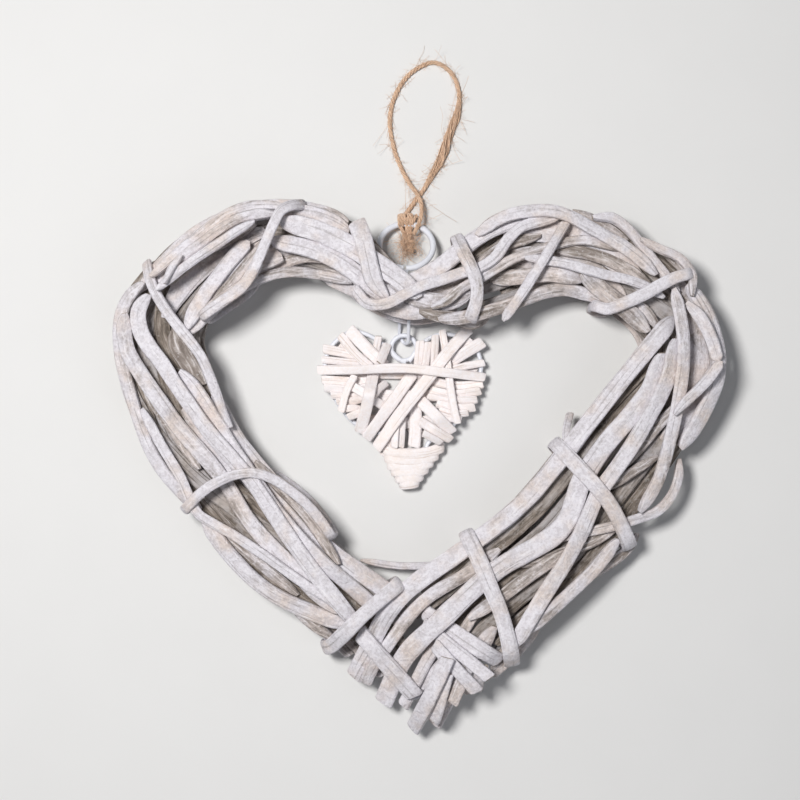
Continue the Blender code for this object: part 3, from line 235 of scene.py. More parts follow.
class Graph:
    """A small helper that places and links the nodes of one node tree."""

    def __init__(self, tree: bpy.types.NodeTree) -> None:
        """Keep the tree that the nodes go into."""
        self.tree = tree

    def add(self, kind: str, settings: Optional[dict] = None, **inputs: object) -> bpy.types.Node:
        """Place one node.

        Args:
            kind: The node's Blender type.
            settings: Properties to set on the node.
            inputs: Values or output sockets for its inputs, by name, or i and the input's number.

        Returns:
            The new node.
        """
        node = self.tree.nodes.new(kind)
        for name, value in (settings or {}).items():
            setattr(node, name, value)
        for name, value in inputs.items():
            numbered = name[0] == "i" and name[1:].isdigit()
            self.feed(node, int(name[1:]) if numbered else name.replace("_", " "), value)
        return node

    def feed(self, node: bpy.types.Node, name: object, value: object) -> None:
        """Link an output socket to a node's input, or set the input to a value.

        Args:
            node: The node.
            name: The input's name or number.
            value: The socket or the value.
        """
        if isinstance(value, bpy.types.NodeSocket):
            self.tree.links.new(value, node.inputs[name])
        else:
            node.inputs[name].default_value = value

    def math(self, operation: str, first: object, second: object, third: object = 0.0) -> object:
        """Return the output of a Math node."""
        return self.add("ShaderNodeMath", {"operation": operation}, i0=first, i1=second, i2=third).outputs[0]

    def times(self, first: object, second: object) -> object:
        """Return a product."""
        return self.math("MULTIPLY", first, second)

    def plus(self, first: object, second: object) -> object:
        """Return a sum."""
        return self.math("ADD", first, second)

    def stretched(self, place: object, sizes: object) -> object:
        """Return a place multiplied by a size along each axis."""
        return self.add("ShaderNodeVectorMath", {"operation": "MULTIPLY"}, i0=place, i1=sizes).outputs[0]

    def noise(self, place: object, scale: object, detail: float, roughness: float = 0.5,
              distortion: float = 0.0) -> object:
        """Return the value of a noise texture at a place."""
        return self.add("ShaderNodeTexNoise", Vector=place, Scale=scale, Detail=detail, Roughness=roughness,
                        Distortion=distortion).outputs[0]

    def mix(self, factor: object, first: object, second: object) -> object:
        """Place a colour mix.

        Args:
            factor: Share of the second colour.
            first: The first colour.
            second: The second colour.

        Returns:
            Its output.
        """
        node = self.add("ShaderNodeMix", {"data_type": "RGBA"})
        for index, value in ((0, factor), (6, first), (7, second)):
            self.feed(node, index, (*value, 1.0) if isinstance(value, tuple) else value)
        return node.outputs[2]

    def ramp(self, factor: object, low: float, high: float) -> object:
        """Return a smooth step from 0 at the low value to 1 at the high one."""
        return self.add("ShaderNodeMapRange", {"interpolation_type": "SMOOTHSTEP"}, Value=factor,
                        From_Min=low, From_Max=high).outputs[0]

    def bump(self, shader: bpy.types.Node, height: object, strength: float, distance: float) -> None:
        """Raise a height on the surface of a shader."""
        bump = self.add("ShaderNodeBump", Height=height, Strength=strength, Distance=distance)
        self.feed(shader, "Normal", bump.outputs[0])

    def map(self) -> object:
        """Return the place on a strip's own map, which runs along its fibres."""
        return self.add("ShaderNodeUVMap", {"uv_map": "grain"}).outputs[0]

    def solid(self) -> object:
        """Return the place in the object's own space."""
        return self.add("ShaderNodeTexCoord").outputs["Object"]

    def group(self, tree: bpy.types.NodeTree, **inputs: object) -> bpy.types.NodeInputs:
        """Place a node group, set its inputs and return its outputs."""
        return self.add("ShaderNodeGroup", {"node_tree": tree}, **inputs).outputs


def group(name: str, inputs: Sequence[tuple[str, str, float]], outputs: Sequence[str],
          fill: Callable[[Graph, bpy.types.NodeOutputs], Sequence[object]]) -> bpy.types.NodeTree:
    """Build a shader node group once.

    Args:
        name: The group's name.
        inputs: Name, socket type and default of each input.
        outputs: Name of each output, all of them values.
        fill: Function that places the nodes and returns the value of each output.

    Returns:
        The group's node tree.
    """
    tree = bpy.data.node_groups.new(name, "ShaderNodeTree")
    for label, kind, value in inputs:
        socket = tree.interface.new_socket(label, in_out="INPUT", socket_type=kind)
        if kind == FLOAT:
            socket.default_value = value
    for label in outputs:
        tree.interface.new_socket(label, in_out="OUTPUT", socket_type=FLOAT)
    graph = Graph(tree)
    sink = tree.nodes.new("NodeGroupOutput")
    for label, value in zip(outputs, fill(graph, tree.nodes.new("NodeGroupInput").outputs)):
        graph.feed(sink, label, value)
    return tree


def fibre_streaks(graph: Graph, source: bpy.types.NodeOutputs) -> Sequence[object]:
    """Draw fine and broad streaks and cracks that run along a strip.

    Args:
        graph: The group's node helper.
        source: The group's inputs.

    Returns:
        The fine streaks, the broad streaks and the cracks.
    """
    sizes = graph.add("ShaderNodeCombineXYZ", X=source["Along"], Y=source["Across"], Z=1.0).outputs[0]
    place = graph.stretched(source["Vector"], sizes)
    cracks = graph.noise(graph.stretched(place, (0.22, 1.35, 1.0)), 1.0, 2.0, 0.5, 0.45)
    return (graph.noise(place, 1.0, 5.0, 0.62, 0.25),
            graph.noise(graph.stretched(place, (0.31, 0.17, 1.0)), 1.0, 3.0, 0.55, 0.6),
            graph.ramp(cracks, 0.40, 0.31))


def chalk_crust(graph: Graph, source: bpy.types.NodeOutputs) -> Sequence[object]:
    """Draw the grains and lumps of thick chalk paint.

    Args:
        graph: The group's node helper.
        source: The group's inputs.

    Returns:
        The hollows between the lumps, and the height.
    """
    grains = graph.noise(source["Vector"], source["Scale"], 5.0, 0.7)
    lumps = graph.noise(source["Vector"], graph.times(source["Scale"], 0.36), 3.0, 0.6, 0.8)
    level = graph.plus(graph.times(grains, 0.55), graph.times(lumps, 0.45))
    return graph.ramp(level, 0.53, 0.43), level


def dry_brushed_wash(graph: Graph, source: bpy.types.NodeOutputs) -> Sequence[object]:
    """Draw dry-brushed paint that is thin along the fibres.

    Args:
        graph: The group's node helper.
        source: The group's inputs.

    Returns:
        Where paint covers the wood, and its height.
    """
    level = graph.plus(graph.times(source["Broad"], 0.65), graph.times(source["Fine"], 0.45))
    bare = graph.math("SUBTRACT", 1.15, source["Cover"])
    cover = graph.ramp(graph.math("SUBTRACT", level, graph.times(bare, 0.6)), 0.25, 0.47)
    return cover, graph.plus(graph.times(source["Fine"], 0.7), graph.times(cover, 0.3))


FIBRES = group("fibre_streaks", [("Vector", VECTOR, 0.0), ("Along", FLOAT, 60.0), ("Across", FLOAT, 900.0)],
               ("Fine", "Broad", "Cracks"), fibre_streaks)
WASH = group("dry_brushed_wash", [("Fine", FLOAT, 0.5), ("Broad", FLOAT, 0.5), ("Cover", FLOAT, 0.8)],
             ("Paint", "Height"), dry_brushed_wash)
CRUST = group("chalk_crust", [("Vector", VECTOR, 0.0), ("Scale", FLOAT, 900.0)], ("Hollows", "Height"),
              chalk_crust)


def new_material(name: str) -> tuple[bpy.types.Material, Graph, bpy.types.Node]:
    """Make a material.

    Args:
        name: The material's name.

    Returns:
        The material, its node helper and its Principled shader.
    """
    material = bpy.data.materials.new(name)
    material.use_nodes = True
    graph = Graph(material.node_tree)
    return material, graph, material.node_tree.nodes["Principled BSDF"]


@dataclass(frozen=True)
class WillowFinish:
    """Split willow with a thin brushed wash of white paint over it."""

    name: str
    slot: str
    cool_paint: Colour
    warm_paint: Colour
    thin_paint_and_shade: Colour
    pale_wood: Colour
    dark_wood: Colour
    highlight: Colour
    cover: float
    cracks: float = 0.75
    roughness: float = 0.62
    relief: float = 0.0009

    def material(self) -> bpy.types.Material:
        """Build the material; streaks follow the strip's own map and the tone attribute shifts them.

        Returns:
            The material.
        """
        material, graph, shader = new_material(self.name)
        tone = graph.add("ShaderNodeAttribute", {"attribute_name": "tone"}).outputs["Fac"]
        solid = graph.solid()
        fibres = graph.group(FIBRES, Vector=graph.map(), Along=95.0, Across=820.0)
        fine, cracks = fibres["Fine"], fibres["Cracks"]
        crust = graph.group(CRUST, Vector=solid, Scale=880.0)
        cover = graph.plus(graph.times(tone, 0.62), self.cover - 0.31)
        wash = graph.group(WASH, Fine=graph.mix(0.5, fine, graph.noise(solid, 420.0, 4.0, 0.65)),
                           Broad=fibres["Broad"], Cover=cover)
        warmth = graph.plus(graph.noise(solid, 62.0, 3.0, 0.55), graph.times(tone, 0.26))
        wood = graph.mix(graph.ramp(fine, 0.34, 0.64), self.dark_wood, self.pale_wood)
        paint = graph.mix(graph.ramp(warmth, 0.52, 0.78), self.warm_paint, self.cool_paint)
        # The crust's hollows take the greyer thin paint colour: partly thin paint, partly painted shade.
        paint = graph.mix(graph.times(crust["Hollows"], 0.42), paint, self.thin_paint_and_shade)
        colour = graph.mix(wash["Paint"], wood, paint)
        # Painted highlight: the highlight colour goes on the highest fine streaks.
        colour = graph.mix(graph.times(graph.ramp(fine, 0.52, 0.70), 0.5), colour, self.highlight)
        colour = graph.mix(graph.times(cracks, self.cracks), colour, self.dark_wood)
        # Painted highlight on the highest lumps of the crust.
        painted_lump_highlight = graph.times(graph.ramp(crust["Height"], 0.53, 0.62), 0.4)
        graph.feed(shader, "Base Color", graph.mix(painted_lump_highlight, colour, self.highlight))
        graph.feed(shader, "Roughness", graph.math("MULTIPLY_ADD", fine, 0.28, self.roughness - 0.12))
        height = graph.plus(wash["Height"], graph.times(crust["Height"], 1.7))
        graph.bump(shader, graph.math("SUBTRACT", height, graph.times(cracks, 0.3)), 0.8, self.relief)
        graph.feed(shader, "Specular IOR Level", 0.35)
        return material


@dataclass(frozen=True)
class CutEndFinish:
    """The sawn end of a willow strip."""

    name: str
    slot: str
    pale: Colour
    dark: Colour

    def material(self) -> bpy.types.Material:
        """Build the material from fine specks and a few dark pores.

        Returns:
            The material.
        """
        material, graph, shader = new_material(self.name)
        specks = graph.noise(graph.solid(), 900.0, 4.0, 0.7)
        graph.feed(shader, "Base Color", graph.mix(graph.ramp(specks, 0.35, 0.65), self.dark, self.pale))
        graph.bump(shader, specks, 0.6, 0.0003)
        graph.feed(shader, "Roughness", 0.85)
        return material


@dataclass(frozen=True)
class PaintedWireFinish:
    """Iron wire in thick white paint that runs thin in places."""

    name: str
    slot: str
    paint: Colour
    thin: Colour

    def material(self) -> bpy.types.Material:
        """Build the material with small lumps and dull patches.

        Returns:
            The material.
        """
        material, graph, shader = new_material(self.name)
        solid = graph.solid()
        patches = graph.noise(solid, 260.0, 4.0, 0.6)
        graph.feed(shader, "Base Color", graph.mix(graph.ramp(patches, 0.60, 0.74), self.paint, self.thin))
        graph.feed(shader, "Roughness", graph.math("MULTIPLY_ADD", patches, 0.35, 0.24))
        graph.bump(shader, graph.noise(solid, 620.0, 2.0), 0.45, 0.0003)
        return material


@dataclass(frozen=True)
class JuteFinish:
    """Rough jute yarn, light tan on its ridges and brown between its fibres, the brown partly the yarn's
    colour and partly painted shade.
    """

    name: str
    slot: str
    tan: Colour
    brown: Colour
    across: float

    def material(self) -> bpy.types.Material:
        """Build the material with fibres that run along the ply.

        Returns:
            The material.
        """
        material, graph, shader = new_material(self.name)
        fine = graph.group(FIBRES, Vector=graph.map(), Along=260.0, Across=self.across)["Fine"]
        # Brown where the fibre streaks sink and tan where they rise: fibre colour with painted shade in the
        # hollows.
        graph.feed(shader, "Base Color", graph.mix(graph.ramp(fine, 0.38, 0.53), self.brown, self.tan))
        graph.bump(shader, fine, 0.9, 0.0004)
        graph.feed(shader, "Roughness", 0.92)
        graph.feed(shader, "Sheen Weight", 0.35)
        graph.feed(shader, "Sheen Roughness", 0.5)
        return material


@dataclass(frozen=True)
class TableFinish:
    """Plain pale table board."""

    name: str
    colour: Colour

    def material(self) -> bpy.types.Material:
        """Build a plain matt material with a barely visible mottle.

        Returns:
            The material.
        """
        material, graph, shader = new_material(self.name)
        darker = tuple(channel * 0.97 for channel in self.colour)
        mottle = graph.noise(graph.solid(), 30.0, 3.0)
        graph.feed(shader, "Base Color", graph.mix(mottle, self.colour, darker))
        graph.feed(shader, "Roughness", 0.8)
        return material


class Finish(Enum):
    """The finishes of the wreath."""

    WILLOW = WillowFinish("whitewashed_willow_wood", "whitewashed_willow", (0.79, 0.765, 0.82),
                          (0.74, 0.645, 0.605), (0.50, 0.465, 0.485), (0.46, 0.405, 0.375),
                          (0.21, 0.175, 0.155), (0.97, 0.95, 0.99), 0.88, 0.34)
    # SHADED is a darker copy of the willow finish: painted shade for the ribbons that lie low in the gaps.
    SHADED = WillowFinish("painted_shade_willow_wood", "whitewashed_willow", (0.50, 0.475, 0.49),
                          (0.48, 0.425, 0.395), (0.38, 0.34, 0.325), (0.33, 0.275, 0.235),
                          (0.11, 0.09, 0.073), (0.55, 0.52, 0.505), 0.70)
    CREAM = WillowFinish("cream_willow_wood", "cream_willow", (0.93, 0.88, 0.895),
                         (0.93, 0.85, 0.83), (0.87, 0.78, 0.73), (0.82, 0.69, 0.60),
                         (0.60, 0.45, 0.36), (0.97, 0.95, 0.96), 0.95, 0.45, 0.6, 0.0004)
    CUT = CutEndFinish("cut_willow_end", "whitewashed_willow", (0.60, 0.53, 0.47), (0.30, 0.235, 0.18))
    WIRE = PaintedWireFinish("white_painted_wire", "white_wire", (0.78, 0.80, 0.87), (0.46, 0.47, 0.50))
    JUTE = JuteFinish("jute_yarn", "jute", (0.93, 0.645, 0.445), (0.27, 0.13, 0.065), 2000.0)
    TABLE = TableFinish("pale_table_board", (0.76, 0.76, 0.76))

    def get(self) -> bpy.types.Material:
        """Return the finish's material, built on its first use."""
        return bpy.data.materials.get(self.value.name) or self.value.material()


@dataclass
class Section:
    """The cut through a strip or a wire: its width, its thickness and how boxy it is."""

    width: float
    thickness: float
    sides: int = 14
    boxiness: float = 0.58
    ripple: float = 0.05
    waviness: float = 0.07

    def matrix(self, centre: Sequence[float], side: Vector, travel: Vector, scale: float = 1.0,
               slant: float = 0.0, wide: float = 1.0) -> Matrix:
        """Return the matrix that puts the unit section at a place.

        Args:
            centre: The place.
            side: Unit vector across the strip.
            travel: Unit vector along the strip.
            scale: Share of the full size.
            slant: How far the cut leans along the strip, as a share of the half width.
            wide: Share of the full width.

        Returns:
            A 4 by 4 matrix.
        """
        lift = side.cross(travel).normalized()
        columns = ((side + travel * slant) * self.width / 2 * scale * wide,
                   lift * self.thickness / 2 * scale, travel, Vector(centre))
        matrix = Matrix.Identity(4)
        for index, column in enumerate(columns):
            matrix.col[index] = (*column, 1.0 if index == 3 else 0.0)
        return matrix

    def first_ring(self, mesh: bmesh.types.BMesh, matrix: Matrix) -> list[bmesh.types.BMEdge]:
        """Make the first ring of a sweep as a circle squared off a little.

        Args:
            mesh: The empty mesh that the ring goes into.
            matrix: The matrix of the first section.

        Returns:
            The ring's edges.
        """
        made = bmesh.ops.create_circle(mesh, segments=self.sides, radius=1.0)["verts"]
        for vertex in made:
            across, up = vertex.co.x, vertex.co.y
            vertex.co.x = math.copysign(abs(across) ** self.boxiness, across)
            vertex.co.y = math.copysign(abs(up) ** self.boxiness, up)
        bmesh.ops.transform(mesh, matrix=matrix, verts=made)
        return mesh.edges[:]


def new_sweep_mesh() -> bmesh.types.BMesh:
    """Make an empty mesh that remembers where on the strip each vertex lies.

    Returns:
        The mesh, with the layers run, turn, tone and out.
    """
    mesh = bmesh.new()
    for name in ("run", "turn", "tone"):
        mesh.verts.layers.float.new(name)
    mesh.verts.layers.float_vector.new("out")
    return mesh


def sweep(mesh: bmesh.types.BMesh, section: Section, matrices: Sequence[Matrix], closed: bool = False,
          start_run: float = 0.0, tone: float = 0.5) -> None:
    """Extrude a section from place to place and add it to the mesh.

    Args:
        mesh: A mesh from new_sweep_mesh.
        section: The section to sweep.
        matrices: The section's matrix at each place.
        closed: Whether the last place joins the first.
        start_run: Distance along the grain at the start, which shifts the grain's pattern.
        tone: How pale the strip is, from 0 to 1.
    """
    whole = mesh
    mesh = new_sweep_mesh()
    run, out = mesh.verts.layers.float["run"], mesh.verts.layers.float_vector["out"]
    tones, turn = mesh.verts.layers.float["tone"], mesh.verts.layers.float["turn"]
    first = section.first_ring(mesh, matrices[0])
    end, distance = first, start_run
    rings = [{vertex for edge in first for vertex in edge.verts}]
    later = list(matrices[1:]) + ([matrices[0]] if closed else [])
    here = matrices[0]
    distances = [distance]
    for there in later:
        grown = bmesh.ops.extrude_edge_only(mesh, edges=end)["geom"]
        corners = {item for item in grown if isinstance(item, bmesh.types.BMVert)}
        end = [item for item in grown if isinstance(item, bmesh.types.BMEdge)
               and item.verts[0] in corners and item.verts[1] in corners]
        bmesh.ops.transform(mesh, matrix=there @ here.inverted(), verts=list(corners))
        distance += (there.translation - here.translation).length
        distances.append(distance)
        rings.append(corners)
        here = there
    for ring, matrix, place in zip(rings, list(matrices) + [matrices[0]], distances):
        back = matrix.inverted()
        for vertex in ring:
            across = back @ vertex.co
            vertex[turn] = math.atan2(across.y, across.x) / (2 * math.pi) + 0.5
            vertex[run] = place
            vertex[out] = vertex.co - matrix.translation
            vertex[tones] = tone
    if closed:
        bmesh.ops.remove_doubles(mesh, verts=mesh.verts, dist=1e-6)
    else:
        for edges in (first, end):
            made = bmesh.ops.edgeloop_fill(mesh, edges=edges)["faces"]
            for face in made:
                face.material_index = 1
    data = bpy.data.meshes.new("sweep")
    mesh.to_mesh(data)
    mesh.free()
    whole.from_mesh(data)
    bpy.data.meshes.remove(data)


def roughen(mesh: bmesh.types.BMesh, ripple: float, seed: float) -> None:
    """Move the skin of a strip in and out along its fibres, as split wood is uneven.

    Args:
        mesh: A swept mesh.
        ripple: Greatest move as a share of the distance to the strip's middle.
        seed: Number that shifts the pattern.
    """
    run, turn = mesh.verts.layers.float["run"], mesh.verts.layers.float["turn"]
    out = mesh.verts.layers.float_vector["out"]
    for vertex in mesh.verts:
        angle = vertex[turn] * 2 * math.pi
        place = Vector((vertex[run] * 45 + seed, math.cos(angle) * 1.6, math.sin(angle) * 1.6))
        ridges = Vector((vertex[run] * 14 + seed, math.cos(angle) * 4.5, math.sin(angle) * 4.5))
        vertex.co += vertex[out] * (noise.noise(place) + 0.8 * noise.noise(ridges)) * ripple


def publish(mesh: bmesh.types.BMesh, name: str, finish: Finish, stands_for: Sequence[str] = (),
            length: float = 1.0) -> bpy.types.Object:
    """Turn a swept mesh into a piece of the wreath in its place in the part's frame.

    Args:
        mesh: The mesh, in metres from the middle of the big heart; it is freed.
        name: The piece's name.
        finish: The piece's finish.
        stands_for: CAD nodes that the piece replaces.
        length: Length of a closed loop, for its map's seam.

    Returns:
        The new object, riding on the root body.
    """
    bmesh.ops.translate(mesh, vec=HEART_MIDDLE, verts=mesh.verts)
    for vertex in mesh.verts:
        vertex.co.z = max(vertex.co.z, FLOOR_CLEARANCE)
    bmesh.ops.recalc_face_normals(mesh, faces=mesh.faces)
    run, turn = mesh.verts.layers.float["run"], mesh.verts.layers.float["turn"]
    uv = mesh.loops.layers.uv.new("grain")
    for face in mesh.faces:
        turns = [corner.vert[turn] for corner in face.loops]
        runs = [corner.vert[run] for corner in face.loops]
        for corner in face.loops:
            around, along = corner.vert[turn], corner.vert[run]
            if max(turns) - min(turns) > 0.5 and around < 0.5:
                around += 1.0
            if max(runs) - min(runs) > length / 2 and along < min(runs) + length / 2:
                along += length
            corner[uv].uv = (along, around * MAP_AROUND)
    data = bpy.data.meshes.new(name)
    mesh.to_mesh(data)
    mesh.free()
    for layer in ("run", "turn", "out"):
        if layer in data.attributes and data.attributes[layer].domain == "POINT":
            data.attributes.remove(data.attributes[layer])
    ends = Finish.CUT if finish in (Finish.WILLOW, Finish.SHADED, Finish.CREAM) else finish
    for part in (finish, ends):
        data.materials.append(part.get())
    data.shade_smooth()
    data.set_sharp_from_angle(angle=math.radians(55))
    piece = bpy.data.objects.new(name, data)
    bpy.context.scene.collection.objects.link(piece)
    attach(piece, "root")
    if stands_for:
        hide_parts(*stands_for)
    logging.info("%s: %d faces", name, len(data.polygons))
    return piece


def strip_matrices(points: np.ndarray, section: Section, seed: float, leans: Optional[np.ndarray] = None,
                   slants: tuple[float, float] = (0.0, 0.0),
                   tapers: tuple[float, float] = (0.0, 0.0)) -> list[Matrix]:
    """Return the matrices of an open strip with softened, slanted ends.

    Args:
        points: Evenly spaced 3-D points of the strip's middle.
        section: The strip's section.
        seed: Number that shifts the strip's unevenness.
        leans: Rise towards the strip's right side at each station, as a slope.
        slants: Lean of the cut at the start and at the end.
        tapers: Length over which the strip is split to a point at the start and at the end.

    Returns:
        One matrix for each station, with two more at the ends.
    """
    reach = lengths_along(points)
    runs = np.gradient(points, axis=0)
    sides = side_directions(points)
    leans = np.zeros(len(points)) if leans is None else leans
    matrices = []
    last = len(points) - 1
    for index, point in enumerate(points):
        travel = Vector(runs[index]).normalized()
        side = Vector((*sides[index], 0.0))
        side = (side - travel * side.dot(travel)).normalized()
        twist = -math.atan(leans[index]) + 0.16 * noise.noise(Vector((reach[index] * 50, seed, 3.0)))
        side = Matrix.Rotation(twist, 3, travel) @ side
        wide = 1 + section.waviness * noise.noise(Vector((reach[index] * 85, seed, 0.0)))
        for taper, away in zip(tapers, (reach[index], reach[-1] - reach[index])):
            if away < taper:
                wide *= 0.45 + 0.55 * math.sin(math.pi / 2 * away / taper)
        slant = slants[0] if index == 0 else slants[1] if index == last else 0.0
        if index in (0, last):
            inward = travel * (0.0006 if index == 0 else -0.0006)
            softened = section.matrix(Vector(point), side, travel, 0.80, slant, wide)
            full = section.matrix(Vector(point) + inward, side, travel, 0.985, slant, wide)
            matrices.extend([softened, full] if index == 0 else [full, softened])
        else:
            matrices.append(section.matrix(point, side, travel, 1.0, 0.0, wide))
    return matrices


class Pile:
    """What is already laid, as the height of its front and the depth of its back over the plane."""

    STIFFNESS = 0.30
    ROUNDS = 100
    LEANING = 0.75
    LAST_LIFTS = 25
    FALL = 0.00002

    def __init__(self, half_size: float, lowest_rest: float = LOWEST_REST) -> None:
        """Make the two empty height maps.

        Args:
            half_size: Half the side of the square that they cover.
            lowest_rest: The value where nothing is laid.
        """
        self.low = np.array([-half_size, -half_size])
        count = int(2 * half_size / CELL) + 2
        self.layers = {1: np.full((count, count), lowest_rest), -1: np.full((count, count), lowest_rest)}
        self.lowest_rest = lowest_rest

    def cells(self, points: np.ndarray) -> np.ndarray:
        """Return the map cell of each plane point."""
        index = np.rint((points - self.low) / CELL).astype(int)
        return np.clip(index, 1, len(self.layers[1]) - 2)

    def stamp(self, points: np.ndarray, tops: np.ndarray, bottoms: np.ndarray) -> None:
        """Raise the front and the back to cover a solid.

        Args:
            points: Plane points that it is seen at.
            tops: Its top at each.
            bottoms: Its bottom at each.
        """
        column, row = self.cells(points).T
        np.maximum.at(self.layers[1], (column, row), tops)
        np.maximum.at(self.layers[-1], (column, row), -bottoms)

    def look(self, facing: int, points: np.ndarray) -> np.ndarray:
        """Find the highest value of a map in and beside the cell of each point.

        Args:
            facing: 1 for the front and -1 for the back.
            points: The plane points.

        Returns:
            One value for each point.
        """
        column, row = self.cells(points).T
        layer = self.layers[facing]
        return np.max([layer[column + right_by, row + up_by]
                       for right_by, up_by in ((0, 0), (1, 0), (-1, 0), (0, 1), (0, -1))], axis=0)

    @staticmethod
    def samples(points: np.ndarray, width: float, along_count: int,
                across_count: int) -> tuple[np.ndarray, np.ndarray, np.ndarray]:
        """Return sample points of a strip as spans, places along a span and places across.

        Args:
            points: Stations of the strip.
            width: The strip's width.
            along_count: How many places in a span.
            across_count: How many places across.

        Returns:
            The samples, the places along a span and the places across.
        """
        sides = side_directions(points)
        share = np.linspace(0, 1, along_count)
        across = np.linspace(-1, 1, across_count)
        edges = points[:, None, None, :2] + sides[:, None, None, :] * across[None, None, :, None] * width / 2
        rows = share[None, :, None, None]
        return edges[:-1] * (1 - rows) + edges[1:] * rows, share, across

    @staticmethod
    def half_depth(across: np.ndarray, depth: float) -> np.ndarray:
        """Return half the depth of a strip's section at a share of its half width."""
        return depth / 2 * np.clip(1 - np.abs(across) ** 2.6, 0.0, 1.0) ** 0.5

    def settle(self, needed: np.ndarray, share: np.ndarray) -> np.ndarray:
        """Let a stiff strip down onto what is under it.

        Args:
            needed: Lowest allowed height of each span at each place along it.
            share: The places along a span.

        Returns:
            The strip's height at each station.
        """
        heights = np.full(needed.shape[0] + 1, float(needed.min()))
        weight = (1 - share) ** 2 + share ** 2
        for turn in range(self.ROUNDS):
            if turn < self.ROUNDS - self.LAST_LIFTS:
                bend = np.zeros_like(heights)
                bend[1:-1] = heights[:-2] - 2 * heights[1:-1] + heights[2:]
                heights = heights + self.STIFFNESS * bend - self.FALL
            for place, part in enumerate(share):
                middle = heights[:-1] * (1 - part) + heights[1:] * part
                lack = np.maximum(needed[:, place] - middle, 0) / weight[place]
                heights[:-1] += lack * (1 - part)
                heights[1:] += lack * part
        return heights

    def lay(self, route: Sequence[np.ndarray], width: float, depth: float, facing: int = 1,
            step: float = 0.009, fine: float = 0.003) -> tuple[np.ndarray, np.ndarray]:
        """Lay a strip on the front or the back of the pile and add it to the pile.

        Args:
            route: Plane points that the strip passes.
            width: The strip's width.
            depth: The strip's thickness.
            facing: 1 for the front and -1 for the back.
            step: Spacing of the stations that settle.
            fine: Spacing of the returned points.

        Returns:
            Evenly spaced 3-D points of the strip's middle, and its rise to the right at each.
        """
        points = even_points(curve_through(route), step)
        samples, share, across = self.samples(points, width, 9, 9)
        rest = self.look(facing, samples.reshape(-1, 2)).reshape(samples.shape[:3])
        rise = (rest[:, :, across > 0.3].mean(axis=(1, 2)) - rest[:, :, across < -0.3].mean(axis=(1, 2)))
        rise = np.clip(rise / (0.7 * width), -0.5, 0.5) * self.LEANING
        slopes = np.convolve(np.pad(rise, (2, 3), mode="edge"), (0.25, 0.25, 0.25, 0.25), mode="valid")
        slopes = slopes[:len(points)]
        tilt = (slopes[:-1] + slopes[1:])[:, None, None] / 2 * across[None, None, :] * width / 2
        needed = (rest + GAP + self.half_depth(across, depth)[None, None, :] - tilt).max(axis=2)
        heights = self.settle(needed, share) * facing
        smooth = even_points(curve_through(np.column_stack([points, heights])), fine)
        slopes = np.interp(np.linspace(0, 1, len(smooth)), np.linspace(0, 1, len(points)),
                           slopes * facing)
        self.cover(smooth, width, depth, slopes)
        return smooth, slopes

    def cover(self, points: np.ndarray, width: float, depth: float,
              slopes: Optional[np.ndarray] = None) -> None:
        """Add a strip at known 3-D points to the pile.

        Args:
            points: The points of its middle.
            width: Its width.
            depth: Its thickness.
            slopes: Its rise to the right at each point.
        """
        slopes = np.zeros(len(points)) if slopes is None else slopes
        spans = np.linalg.norm(np.diff(points[:, :2], axis=0), axis=1).max()
        samples, share, across = self.samples(points, width, int(spans / CELL * 1.5) + 2,
                                              int(width / CELL * 1.5) + 2)
        middle = points[:-1, 2:3] * (1 - share) + points[1:, 2:3] * share
        tilt = (slopes[:-1] + slopes[1:])[:, None, None] / 2 * across[None, None, :] * width / 2
        middle = (middle[:, :, None] + tilt).ravel()
        half = np.broadcast_to(self.half_depth(across, depth), samples.shape[:3]).ravel()
        self.stamp(samples.reshape(-1, 2), middle + half, middle - half)


def moved_frames(points: np.ndarray, section: Section, closed: bool = False, swell: float = 0.0,
                 seed: float = 0.0) -> list[Matrix]:
    """Return matrices for a round wire or yarn, square to its run and without twist.

    Args:
        points: 3-D points of the wire's middle.
        section: The wire's section.
        closed: Whether the last point joins the first.
        swell: How far the thickness comes and goes, as a share.
        seed: Number that shifts the swell.

    Returns:
        One matrix for each point.
    """
    runs = np.roll(points, -1, axis=0) - np.roll(points, 1, axis=0) if closed else np.gradient(points, axis=0)
    side = None
    matrices = []
    for index, (point, run) in enumerate(zip(points, runs)):
        travel = Vector(run).normalized()
        guess = side if side else Vector((0.0, 0.0, 1.0)).cross(travel)
        if guess.length < 0.01:
            guess = Vector((1.0, 0.0, 0.0))
        side = (guess - travel * guess.dot(travel)).normalized()
        scale = 1 + swell * noise.noise(Vector((index * 0.35, seed, 7.0)))
        matrices.append(section.matrix(Vector(point), side, travel, scale))
    return matrices


